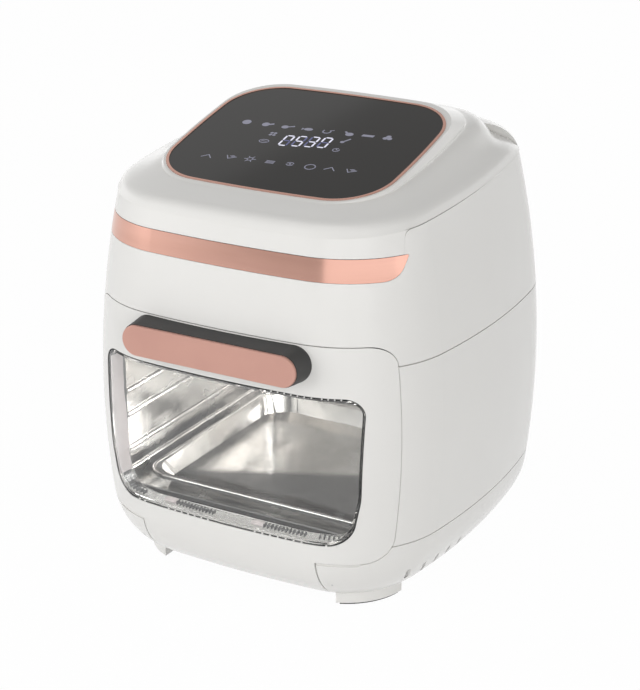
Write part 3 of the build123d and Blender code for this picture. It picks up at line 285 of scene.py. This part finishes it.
def steel(name, dark, light, rough, blotch, stretch=(1, 1, 1)):
    """Bright rolled steel with cloudy patches and a fine grain."""
    mat, tree, shader = new_material(name)
    clouds = noise(tree, blotch, 4.0, stretch)
    tree.links.new(tint(tree, clouds, dark, light), shader.inputs["Base Color"])
    drift = noise(tree, blotch * ROUGH_SCALE, 5.0, stretch)
    tree.links.new(remap(tree, drift, NOISE_RANGE, rough), shader.inputs["Roughness"])
    shader.inputs["Metallic"].default_value = 1.0
    bump(tree, shader, noise(tree, GRAIN_SCALE, 4.0, stretch), GRAIN_STRENGTH, GRAIN_DEPTH)
    return mat


def tray_steel_painted_shade(name):
    """Bright steel with painted shade that turns its floor dark towards the front."""
    mat = steel(name, (0.56, 0.54, 0.52), (0.88, 0.87, 0.85), rough=(0.05, 0.24), blotch=11.0)
    tree = mat.node_tree
    base = tree.nodes["Principled BSDF"].inputs["Base Color"]
    coords = tree.nodes.new("ShaderNodeTexCoord")
    place = tree.nodes.new("ShaderNodeSeparateXYZ")
    tilt = tree.nodes.new("ShaderNodeSeparateXYZ")
    tree.links.new(coords.outputs["Object"], place.inputs["Vector"])
    tree.links.new(coords.outputs["Normal"], tilt.inputs["Vector"])
    # Painted shade: past a soft slanting edge, level floor faces towards the front turn to the dark tone
    slant = reckon(tree, "MULTIPLY_ADD", place.outputs["X"], -FLOOR_SHADE_SLANT, place.outputs["Y"])
    edge = (FLOOR_SHADE_EDGE * MM, (FLOOR_SHADE_EDGE + FLOOR_SHADE_BLUR) * MM)
    front = remap(tree, slant, edge, (1.0, 0.0), gentle=True)
    level = remap(tree, tilt.outputs["Z"], FLOOR_LEVEL, (0.0, 1.0))
    shade_mix = tree.nodes.new("ShaderNodeMix")
    shade_mix.data_type = "RGBA"
    bright = base.links[0].from_socket
    tree.links.new(reckon(tree, "MULTIPLY", front, level), shade_mix.inputs["Factor"])
    tree.links.new(bright, shade_mix.inputs[6])
    shade_mix.inputs[7].default_value = (*FLOOR_SHADE_TONE, 1)
    tree.links.new(shade_mix.outputs[2], base)
    return mat


def make_materials():
    """Every material by its name."""
    made = {}

    def add(maker, name, *values, **settings):
        made[name] = maker(name, *values, **settings)

    add(surface, "white_gloss", WHITE, WHITE_LIGHT, rough=(0.20, 0.26), scale=6.0,
        bumps=(0.02, 0.0002, 700.0), Coat_Weight=0.25, Coat_Roughness=0.08)
    add(surface, "rose_gloss", (0.66, 0.375, 0.30), (0.72, 0.42, 0.34), rough=(0.16, 0.22), metal=1.0,
        scale=8.0, stretch=(1, 1, 12), bumps=(0.03, 0.0002, 500.0))
    add(surface, "rose_satin", (0.585, 0.325, 0.268), (0.62, 0.35, 0.288), rough=(0.42, 0.48), metal=0.55,
        scale=30.0, bumps=(0.08, 0.0003, 2500.0))
    add(surface, "charcoal", (0.032, 0.031, 0.031), (0.042, 0.040, 0.039), rough=(0.50, 0.58),
        scale=60.0, bumps=(0.15, 0.0003, 2200.0))
    add(surface, "dark_glass", (0.022, 0.020, 0.018), (0.025, 0.023, 0.021), rough=(0.05, 0.07),
        scale=5.0, Specular_IOR_Level=0.28)
    add(clear, "clear_window", (0.985, 0.985, 0.98), rough=(0.0, 0.02))
    add(clear, "clear_glass", (0.985, 0.99, 0.985), rough=(0.0, 0.01), ior=1.5)
    add(clear, "bulb_glass", (0.98, 0.95, 0.88), rough=(0.0, 0.05))
    add(surface, "rubber_dark", (0.018, 0.018, 0.018), (0.028, 0.028, 0.028), rough=(0.6, 0.7),
        scale=90.0, bumps=(0.1, 0.0003, 1500.0))
    add(surface, "rubber_grey", (0.08, 0.08, 0.085), (0.11, 0.11, 0.115), rough=(0.55, 0.65),
        scale=90.0, bumps=(0.1, 0.0003, 1500.0))
    add(surface, "grey_panel", (0.10, 0.10, 0.10), (0.13, 0.13, 0.13), rough=(0.40, 0.5),
        scale=50.0, bumps=(0.12, 0.0003, 1800.0))
    add(steel, "bright_steel", (0.62, 0.60, 0.58), (0.86, 0.85, 0.83), rough=(0.10, 0.32), blotch=14.0,
        stretch=(1, 1, 2.2))
    # The tray's steel carries painted shade on the front of its floor
    add(tray_steel_painted_shade, "tray_steel")
    add(surface, "frosted", (0.60, 0.545, 0.535), (0.68, 0.625, 0.615), rough=(0.4, 0.55), scale=30.0,
        stretch=(1, 1, 0.3))
    add(steel, "plain_steel", (0.42, 0.42, 0.42), (0.55, 0.55, 0.55), rough=(0.25, 0.4), blotch=30.0)
    add(surface, "element_steel", (0.06, 0.055, 0.05), (0.10, 0.09, 0.085), rough=(0.35, 0.5), metal=0.8,
        scale=60.0)
    add(surface, "fan_alu", (0.58, 0.58, 0.58), (0.68, 0.68, 0.68), rough=(0.28, 0.4), metal=1.0,
        scale=40.0, stretch=(1, 1, 8))
    add(surface, "motor_paint", (0.05, 0.052, 0.055), (0.07, 0.072, 0.075), rough=(0.4, 0.5), metal=0.2,
        scale=60.0)
    add(surface, "board_green", (0.01, 0.07, 0.03), (0.015, 0.09, 0.04), rough=(0.3, 0.4), scale=120.0)
    add(surface, "inner_plastic", (0.42, 0.42, 0.40), (0.48, 0.48, 0.46), rough=(0.5, 0.6), scale=60.0)
    add(surface, "magnet_dark", (0.03, 0.03, 0.032), (0.05, 0.05, 0.052), rough=(0.4, 0.6), metal=0.6,
        scale=80.0)
    add(lit, "icon_glow", (0.25, 0.25, 0.33), strength=0.8)
    add(lit, "digit_glow", (0.84, 0.84, 1.0), strength=0.95)
    add(lit, "ghost_glow", (0.10, 0.11, 0.29), strength=0.75)
    return made


def dress(made):
    """Gives each CAD node its slot's material."""
    slots = {row["node"]: row["material_slot"] for row in frame["record"]["subparts"]}
    for name, obj in frame["nodes"].items():
        mat = made[slots[name]]
        obj.data.materials.clear()
        obj.data.materials.append(mat)


def make_piece(name, bm, mat, body, smooth=True):
    """Turns a bmesh in millimetres into a piece that rides on a body."""
    mesh = bpy.data.meshes.new(name)
    bmesh.ops.scale(bm, vec=(MM, MM, MM), verts=bm.verts)
    bm.to_mesh(mesh)
    bm.free()
    mesh.materials.append(mat)
    if smooth:
        mesh.shade_smooth()
    obj = bpy.data.objects.new(name, mesh)
    bpy.context.collection.objects.link(obj)
    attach(obj, body)


def add_prism(bm, points, low, high):
    """A prism on a closed outline; low and high map an outline point to a 3-D point."""
    bottom = [bm.verts.new(low(p)) for p in points]
    top = [bm.verts.new(high(p)) for p in points]
    bm.faces.new(top)
    bm.faces.new(list(reversed(bottom)))
    count = len(points)
    for i in range(count):
        j = (i + 1) % count
        bm.faces.new((bottom[i], bottom[j], top[j], top[i]))


# Panel artwork. X runs along the panel and S up its slope, both in millimetres from its middle.

ICON_RIGHT = Vector((0.99, 0.06))
ICON_UP = Vector((-0.06, 0.99))


def panel_point(x, s, lift):
    lo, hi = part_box("panel_glass")
    centre = (lo + hi) / (2 * MM)
    return centre + Vector((x, 0, 0)) + PANEL_SLOPE * s + PANEL_NORMAL * (PANEL_THICK / 2 + lift)


def print_shape(bm, flat):
    """A thin raised print of an outline in the panel's X and S."""
    area = sum(a.x * b.y - b.x * a.y for a, b in zip(flat, flat[1:] + flat[:1]))
    if area < 0:
        flat.reverse()
    add_prism(bm, flat, lambda p: panel_point(p.x, p.y, -INK_SINK), lambda p: panel_point(p.x, p.y, INK))


def ink(bm, outline, spot):
    """Prints an outline that is drawn about a spot on the panel."""
    print_shape(bm, [Vector(spot) + ICON_RIGHT * u + ICON_UP * v for u, v in outline])


def stroke(bm, path, width, spot):
    """Bars along a path, each longer by a third of its width at both ends so that they join."""
    for start, end in zip(path, path[1:]):
        start, end = Vector(start), Vector(end)
        along = (end - start).normalized() * width
        aside = Vector((-along.y, along.x)) / 2
        near, far = start - along / 3, end + along / 3
        ink(bm, [near + aside, near - aside, far - aside, far + aside], spot)


def arc(cx, cy, rx, ry, start, end, count=14):
    """Points of an elliptic arc between two angles in degrees."""
    angles = [math.radians(start + (end - start) * i / count) for i in range(count + 1)]
    return [(cx + rx * math.cos(angle), cy + ry * math.sin(angle)) for angle in angles]


def disc(bm, cx, cy, rx, ry, spot, count=18):
    ink(bm, arc(cx, cy, rx, ry, 0, 360 - 360 / count, count - 1), spot)


def draw_presets(bm):
    """Eight plain food signs in the upper row."""
    slab, leaf, leg, fish = (-65.3, 15.7), (-46.2, 16.3), (-27.4, 17.0), (-8.0, 17.9)
    prawn, bird, bar, bun = (9.2, 19.0), (29.1, 20.1), (45.9, 21.3), (63.4, 22.7)
    disc(bm, 0, 0, 4.0, 3.8, slab)
    disc(bm, -1.0, 0.0, 3.4, 3.2, leaf)
    stroke(bm, [(1.0, 0.0), (5.2, 1.8)], 2.2, leaf)
    disc(bm, -1.6, -0.4, 3.2, 2.6, leg)
    stroke(bm, [(1.2, 0.4), (5.4, 1.8)], 1.4, leg)
    disc(bm, 5.6, 1.9, 0.9, 1.1, leg)
    disc(bm, 0.4, 0.2, 4.0, 2.2, fish)
    ink(bm, [(-3.2, 0.0), (-5.6, 1.8), (-5.6, -1.8)], fish)
    stroke(bm, arc(0, 0, 3.4, 3.0, 150, 400), 1.2, prawn)
    stroke(bm, [(2.6, 1.6), (5.4, 2.8)], 0.9, prawn)
    disc(bm, 0.6, -0.6, 3.6, 2.8, bird)
    stroke(bm, [(-1.6, 0.8), (-4.2, 3.0)], 1.6, bird)
    ink(bm, [(-5.4, -1.6), (5.0, -1.6), (5.6, 1.6), (-4.8, 1.6)], bar)
    for cx, cy in ((-1.9, -1.2), (1.9, -1.2), (0.0, 1.8)):
        disc(bm, cx, cy, 2.2, 2.1, bun)


def draw_keys(bm):
    """The row of touch keys below the digits."""
    up_left, down_left, lamp, bars = (-66.1, -46.5), (-45.7, -42.4), (-28.6, -40.9), (-10.0, -40.8)
    turn, power, up_right, down_right = (7.5, -39.1), (25.7, -38.9), (42.9, -37.3), (60.7, -35.5)
    for spot in (up_left, up_right):
        stroke(bm, [(-4.6, -1.6), (0.6, 2.6), (4.4, -2.2)], 0.9, spot)
    for spot in (down_left, down_right):
        stroke(bm, [(-4.4, 2.2), (-1.6, -2.6), (4.6, 0.8)], 0.9, spot)
        stroke(bm, [(-1.4, 1.6), (1.6, 2.6)], 0.8, spot)
        stroke(bm, [(0.2, 0.4), (3.0, 1.6)], 0.8, spot)
    stroke(bm, arc(0, 0, 2.4, 2.2, 0, 360), 0.8, lamp)
    for angle in range(0, 360, 60):
        c, s = math.cos(math.radians(angle)), math.sin(math.radians(angle))
        stroke(bm, [(3.2 * c, 3.0 * s), (5.0 * c, 4.6 * s)], 0.8, lamp)
    for v in (-1.7, 0.0, 1.7):
        stroke(bm, [(-3.6, v), (3.6, v)], 0.9, bars)
    stroke(bm, arc(0, 0, 3.0, 2.4, 20, 160), 0.9, turn)
    stroke(bm, arc(0, 0, 3.0, 2.4, 200, 340), 0.9, turn)
    disc(bm, 0, 0, 1.1, 1.0, turn)
    stroke(bm, arc(0, 0, 4.4, 3.9, 0, 360, 26), 0.95, power)


def draw_states(bm):
    """The small signs on both sides of the digits."""
    fan, heat, thermo, clock = (-32.5, 2.7), (-33.5, -10.3), (32.5, 8.5), (32.1, -7.6)
    for angle in range(45, 405, 90):
        c, s = math.cos(math.radians(angle)), math.sin(math.radians(angle))
        disc(bm, 2.3 * c, 2.3 * s, 1.5, 1.3, fan)
    stroke(bm, arc(0, 0, 4.2, 2.7, 0, 360, 20), 0.8, heat)
    stroke(bm, [(-2.2, 0.0), (2.2, 0.0)], 0.8, heat)
    stroke(bm, [(-1.4, -1.6), (2.4, 3.4)], 1.5, thermo)
    disc(bm, -2.2, -2.4, 1.9, 1.7, thermo)
    stroke(bm, arc(0, 0, 2.8, 2.5, 60, 380, 18), 0.8, clock)
    stroke(bm, [(0, 1.4), (0, 0), (1.4, 0)], 0.7, clock)


# Digits: seven bars each, by their ends in shares of the digit's width and height
DIGIT_FIRST = Vector((-15.5, -4.4))
DIGIT_STEP = Vector((10.9, 1.8))
DIGIT_RIGHT = Vector((0.998, 0.06))
DIGIT_UP = Vector((-0.02, 1.0))
DIGIT_W = 6.8
DIGIT_H = 16.5
DIGIT_BAR = 1.5
DIGIT_TRIM = 0.45
SEGMENTS = {
    "a": ((0, 1), (1, 1)), "b": ((1, 0.5), (1, 1)), "c": ((1, 0), (1, 0.5)), "d": ((0, 0), (1, 0)),
    "e": ((0, 0), (0, 0.5)), "f": ((0, 0.5), (0, 1)), "g": ((0, 0.5), (1, 0.5)),
}
LIT_SEGMENTS = ("adefb", "adcgf", "acdgb", "bcdaf")


def segment(bm, centre, start, end):
    """One bar of a digit, with pointed ends."""
    near, far = [Vector(((u - 0.5) * DIGIT_W, (v - 0.5) * DIGIT_H)) for u, v in (start, end)]
    along = (far - near).normalized()
    near, far = near + along * DIGIT_TRIM, far - along * DIGIT_TRIM
    along = along * DIGIT_BAR / 2
    aside = Vector((along.y, -along.x))
    outline = [near, near + along + aside, far - along + aside,
               far, far - along - aside, near + along - aside]
    print_shape(bm, [centre + DIGIT_RIGHT * u + DIGIT_UP * v for u, v in outline])


def make_panel_art(made):
    icons = bmesh.new()
    draw_presets(icons)
    draw_keys(icons)
    draw_states(icons)
    make_piece("panel_icons", icons, made["icon_glow"], "oven", smooth=False)
    bright, ghost = bmesh.new(), bmesh.new()
    for i, lit_ones in enumerate(LIT_SEGMENTS):
        centre = DIGIT_FIRST + DIGIT_STEP * i
        for key, (start, end) in SEGMENTS.items():
            segment(bright if key in lit_ones else ghost, centre, start, end)
    make_piece("display_digits", bright, made["digit_glow"], "oven", smooth=False)
    make_piece("display_digits_dim", ghost, made["ghost_glow"], "oven", smooth=False)


# Frosted wall at the window's left edge: heights with the window's half widths there
SIDE_WALL = ((82.0, 113.0), (94.0, 115.8), (110.0, 116.6), (150.0, 118.4), (186.0, 119.4))
WALL_INSET = 3.0
WALL_THICK = 0.8
WALL_NEAR = 3.6
WALL_FAR = 15.0

# Details along the window's lower edge, in rows by first X, last X and count
RIB_Z = 74.5
RIB_DEPTH = 8.0
RIB_SIZE = (0.9, 5.0, 3.2)
RIB_ROWS = ((-98, -82, 5), (-47, -12, 12), (36, 72, 12), (84, 98, 5))
TAB_X = (-54, 30)
TAB_LIFT = 0.6
TAB_SIZE = (11.0, 6.0, 3.0)
PEG_Z = 69.6
PEG_DEPTH = 0.4
PEG_R = 0.9
PEG_ROWS = ((-84, -78, 2), (-53, -14, 7), (30, 72, 7), (92, 100, 2))

# Smaller pegs along the right half of its top edge
TOP_PEG_Z = 195.6
TOP_PEG_DEPTH = 0.3
TOP_PEG_R = 0.7
TOP_PEG_ROWS = ((48, 82, 7), (90, 104, 4))

# Share of a block's least size that its bevel takes
BEVEL_SHARE = 0.2


def make_side_wall(made):
    """A frosted wall that runs back from the window's left edge."""
    bm = bmesh.new()
    columns = []
    for z, half in SIDE_WALL:
        x = WALL_INSET - half
        near, far = front_y(x, z, WALL_NEAR), front_y(x, z, WALL_FAR)
        ring = [(x, near, z), (x, far, z), (x + WALL_THICK, far, z), (x + WALL_THICK, near, z)]
        columns.append([bm.verts.new(p) for p in ring])
    for low, high in zip(columns, columns[1:]):
        for i in range(4):
            j = (i + 1) % 4
            bm.faces.new((low[i], low[j], high[j], high[i]))
    bm.faces.new(columns[0])
    bm.faces.new(columns[-1])
    bmesh.ops.recalc_face_normals(bm, faces=bm.faces)
    make_piece("window_side_wall", bm, made["frosted"], "door", smooth=False)


def front_block(bm, x, z, size):
    """A bevelled block at the ribs' depth behind the front surface, turned to follow it."""
    rise = front_y(x + 1, RIB_Z) - front_y(x - 1, RIB_Z)
    turn = Matrix.Rotation(math.atan2(rise, 2.0), 4, "Z")
    matrix = Matrix.Translation((x, front_y(x, RIB_Z, RIB_DEPTH), z)) @ turn @ Matrix.Diagonal((*size, 1))
    cube = bmesh.ops.create_cube(bm, size=1.0, matrix=matrix)
    edges = list({e for v in cube["verts"] for e in v.link_edges})
    bmesh.ops.bevel(bm, geom=edges, offset=min(size) * BEVEL_SHARE, segments=2, affect="EDGES")


def row_places(rows):
    """X of every piece in rows that are given by first X, last X and count."""
    return [start + (end - start) * i / (count - 1) for start, end, count in rows for i in range(count)]


def make_window_clips(made):
    """Moulded ribs, flat tabs and pegs along the window's lower edge, and pegs along its top."""
    ribs, tabs, pegs = bmesh.new(), bmesh.new(), bmesh.new()
    for x in row_places(RIB_ROWS):
        front_block(ribs, x, RIB_Z, RIB_SIZE)
    for x in TAB_X:
        front_block(tabs, x, RIB_Z + TAB_LIFT, TAB_SIZE)
    for rows, z, depth, radius in ((PEG_ROWS, PEG_Z, PEG_DEPTH, PEG_R),
                                   (TOP_PEG_ROWS, TOP_PEG_Z, TOP_PEG_DEPTH, TOP_PEG_R)):
        for x in row_places(rows):
            place = Matrix.Translation((x, front_y(x, z, depth), z))
            bmesh.ops.create_icosphere(pegs, subdivisions=2, radius=radius, matrix=place)
    make_piece("window_clip_ribs", ribs, made["grey_panel"], "door")
    make_piece("window_tabs", tabs, made["frosted"], "door")
    make_piece("window_pegs", pegs, made["white_gloss"], "door")


# Rolled edge of the tray, and the thinner bead inside and below it
TRAY_CORNER_R = 22.0
EDGE_R = 1.7
EDGE_DROP = 0.4
BEAD_R = 0.8 * EDGE_R
BEAD_STEP = 4.5
BEAD_DROP = 4.2


def rounded_loop(half_x, half_y, radius, steps=10):
    """Points of a rectangle with rounded corners."""
    points = []
    x, y = half_x - radius, half_y - radius
    for cx, cy, start in ((x, y, 0), (-x, y, 90), (-x, -y, 180), (x, -y, 270)):
        for i in range(steps + 1):
            angle = math.radians(start + 90 * i / steps)
            points.append((cx + radius * math.cos(angle), cy + radius * math.sin(angle)))
    return points


def tube_loop(bm, points, radius, sides=10):
    """A closed tube along points in 3-D."""
    rings = []
    up = Vector((0, 0, 1))
    count = len(points)
    for i in range(count):
        ahead, behind = points[(i + 1) % count], points[i - 1]
        side = (ahead - behind).normalized().cross(up).normalized()
        ring = []
        for k in range(sides):
            turn = 2 * math.pi * k / sides
            offset = side * math.cos(turn) + up * math.sin(turn)
            ring.append(bm.verts.new(points[i] + offset * radius))
        rings.append(ring)
    for i in range(count):
        a, b = rings[i], rings[(i + 1) % count]
        for k in range(sides):
            m = (k + 1) % sides
            bm.faces.new((a[k], a[m], b[m], b[k]))


def make_tray_bead(made):
    lo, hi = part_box("drip_tray")
    lo, hi = lo / MM, hi / MM
    half_x, half_y = (hi.x - lo.x) / 2 - EDGE_R, (hi.y - lo.y) / 2 - EDGE_R
    mid_y = (hi.y + lo.y) / 2
    bm = bmesh.new()
    for inset, drop, radius in ((0.0, EDGE_DROP, EDGE_R), (BEAD_STEP, BEAD_DROP, BEAD_R)):
        flat = rounded_loop(half_x - inset, half_y - inset, TRAY_CORNER_R - inset)
        tube_loop(bm, [Vector((x, mid_y + y, hi.z - drop)) for x, y in flat], radius)
    make_piece("tray_rolled_edge", bm, made["tray_steel"], "tray")


# Studio. Angles are in degrees, azimuth from the front towards the right.

# Strength of the light that falls on things, from the horizon and from overhead
SOFT_SIDE = 0.62
SOFT_TOP = 0.26

# What mirror-like surfaces see at their own height: a bright left with a dim front in it,
# and an even right half that starts at an azimuth just off the front
DIM_AZIMUTH = -12.0
DIM_SPREAD = (0.80, 0.985)
LEFT_STRENGTH = 1.55
DIM_STRENGTH = 0.64
RIGHT_AZIMUTH = 2.0
RIGHT_SPREAD = (-0.01, 0.03)
RIGHT_STRENGTH = 1.40

# What they see above: two strengths that meet in a slanting edge, given by two spots on the panel
HIGH_SPREAD = (0.25, 0.45)
PANEL_EDGE = ((16.8, 83.9), (-28.2, -80.4))
PANEL_BLUR = 0.004
PANEL_STRENGTHS = (0.82, 0.56)

# Floor
FLOOR_HALF = 6.0
FLOOR_GREY = 0.92
FLOOR_ROUGH = 0.6
FLOOR_GLOW = 0.98


def direction(azimuth, elevation=0.0):
    a, e = math.radians(azimuth), math.radians(elevation)
    return Vector((math.sin(a) * math.cos(e), -math.cos(a) * math.cos(e), math.sin(e)))


def softbox(name, azimuth, elevation, distance, size, power, aim=(0, 0, 0.18)):
    light = bpy.data.lights.new(name, "AREA")
    light.shape = "RECTANGLE"
    light.size, light.size_y = size
    light.energy = power
    obj = bpy.data.objects.new(name, light)
    away = direction(azimuth, elevation)
    obj.location = Vector(aim) + away * distance
    obj.rotation_euler = away.to_track_quat("Z", "Y").to_euler()
    bpy.context.collection.objects.link(obj)
    return obj


def facing(tree, way, source, target, gentle=True):
    """A value that changes with how far the world's direction turns towards a given one."""
    coords = tree.nodes.new("ShaderNodeTexCoord")
    dot = tree.nodes.new("ShaderNodeVectorMath")
    dot.operation = "DOT_PRODUCT"
    dot.inputs[1].default_value = way
    tree.links.new(coords.outputs["Generated"], dot.inputs[0])
    return remap(tree, dot.outputs["Value"], source, target, gentle)


def mirrored(camera, point, normal):
    """The way in which the camera's sight of a point leaves a mirror there."""
    sight = (Vector(camera) - Vector(point)).normalized()
    return 2 * normal.dot(sight) * normal - sight


def make_world():
    """A room that lights things softly and that mirror-like surfaces see with contrast."""
    world = bpy.data.worlds.new("studio")
    bpy.context.scene.world = world
    world.use_nodes = True
    tree = world.node_tree
    back = tree.nodes["Background"]
    back.inputs["Color"].default_value = (1, 1, 1, 1)
    path = tree.nodes.new("ShaderNodeLightPath")
    up = (0, 0, 1)
    soft = facing(tree, up, (0.0, 1.0), (SOFT_SIDE, SOFT_TOP))
    left = facing(tree, direction(DIM_AZIMUTH), DIM_SPREAD, (LEFT_STRENGTH, DIM_STRENGTH))
    half = facing(tree, direction(RIGHT_AZIMUTH + 90), RIGHT_SPREAD, (0.0, 1.0))
    room = blend(tree, half, left, RIGHT_STRENGTH)
    eye = bpy.context.scene.camera.matrix_world.translation
    ends = [mirrored(eye, panel_point(x, s, 0) * MM, PANEL_NORMAL) for x, s in PANEL_EDGE]
    across = ends[0].cross(ends[1]).normalized()
    edge = facing(tree, across, (-PANEL_BLUR, PANEL_BLUR), PANEL_STRENGTHS, gentle=False)
    high = facing(tree, up, HIGH_SPREAD, (0.0, 1.0))
    mirror = blend(tree, high, room, edge)
    seen = blend(tree, path.outputs["Is Glossy Ray"], 1.0, mirror)
    tree.links.new(blend(tree, seen_mask(tree), soft, seen), back.inputs["Strength"])


def make_lights():
    key = softbox("key_light", -30, 13, distance=1.9, size=(1.3, 1.5), power=12.5)
    corner = softbox("corner_fill", 46, 14, distance=2.0, size=(0.6, 1.4), power=10.5)
    softbox("top_light", -20, 76, distance=1.7, size=(1.2, 0.8), power=2)
    softbox("right_fill", 88, 20, distance=2.2, size=(0.7, 1.6), power=0.8)
    rear = softbox("rear_fill", 190, 30, distance=2.4, size=(1.6, 1.2), power=5)
    for light in (key, corner, rear):
        light.visible_glossy = False
    softbox("cavity_light", 0, 89, distance=0.07, size=(0.12, 0.10), power=0.16, aim=(0, 0, 0.125))
    wall = softbox("wall_light", 150, 10, distance=0.10, size=(0.10, 0.12), power=0.22, aim=(0.02, 0, 0.14))
    wall.visible_camera = False
    wall.visible_transmission = False


def make_floor():
    bm = bmesh.new()
    bmesh.ops.create_grid(bm, x_segments=1, y_segments=1, size=FLOOR_HALF)
    mesh = bpy.data.meshes.new("floor")
    bm.to_mesh(mesh)
    bm.free()
    mat, tree, shader = new_material("floor_white")
    shader.inputs["Base Color"].default_value = (FLOOR_GREY, FLOOR_GREY, FLOOR_GREY, 1)
    shader.inputs["Roughness"].default_value = FLOOR_ROUGH
    glow = tree.nodes.new("ShaderNodeEmission")
    glow.inputs["Color"].default_value = (1, 1, 1, 1)
    share = reckon(tree, "MULTIPLY", seen_mask(tree), FLOOR_GLOW)
    mix_shaders(tree, share, shader.outputs["BSDF"], glow.outputs["Emission"])
    mesh.materials.append(mat)
    obj = bpy.data.objects.new("floor", mesh)
    bpy.context.collection.objects.link(obj)


def make_camera():
    back = direction(CAM_AZIMUTH, CAM_ELEVATION)
    right = direction(CAM_AZIMUTH + 90)
    up = back.cross(right)
    data = bpy.data.cameras.new("camera")
    data.sensor_width = SENSOR
    data.lens = FOCAL_PX * SENSOR / IMAGE_HEIGHT
    data.clip_start, data.clip_end = CAM_CLIP
    obj = bpy.data.objects.new("camera", data)
    place = Vector((0, SHIFT_Y * MM, CAM_HEIGHT)) + right * CAM_SIDE + back * CAM_DISTANCE
    rotation = Matrix((right, up, back)).transposed()
    obj.matrix_world = Matrix.Translation(place) @ rotation.to_4x4()
    bpy.context.collection.objects.link(obj)
    bpy.context.scene.camera = obj


clear_defaults()
make_camera()
make_world()
make_lights()
make_floor()
materials = make_materials()
dress(materials)
make_panel_art(materials)
make_window_clips(materials)
make_side_wall(materials)
make_tray_bead(materials)
bpy.context.scene.view_settings.view_transform = "Standard"
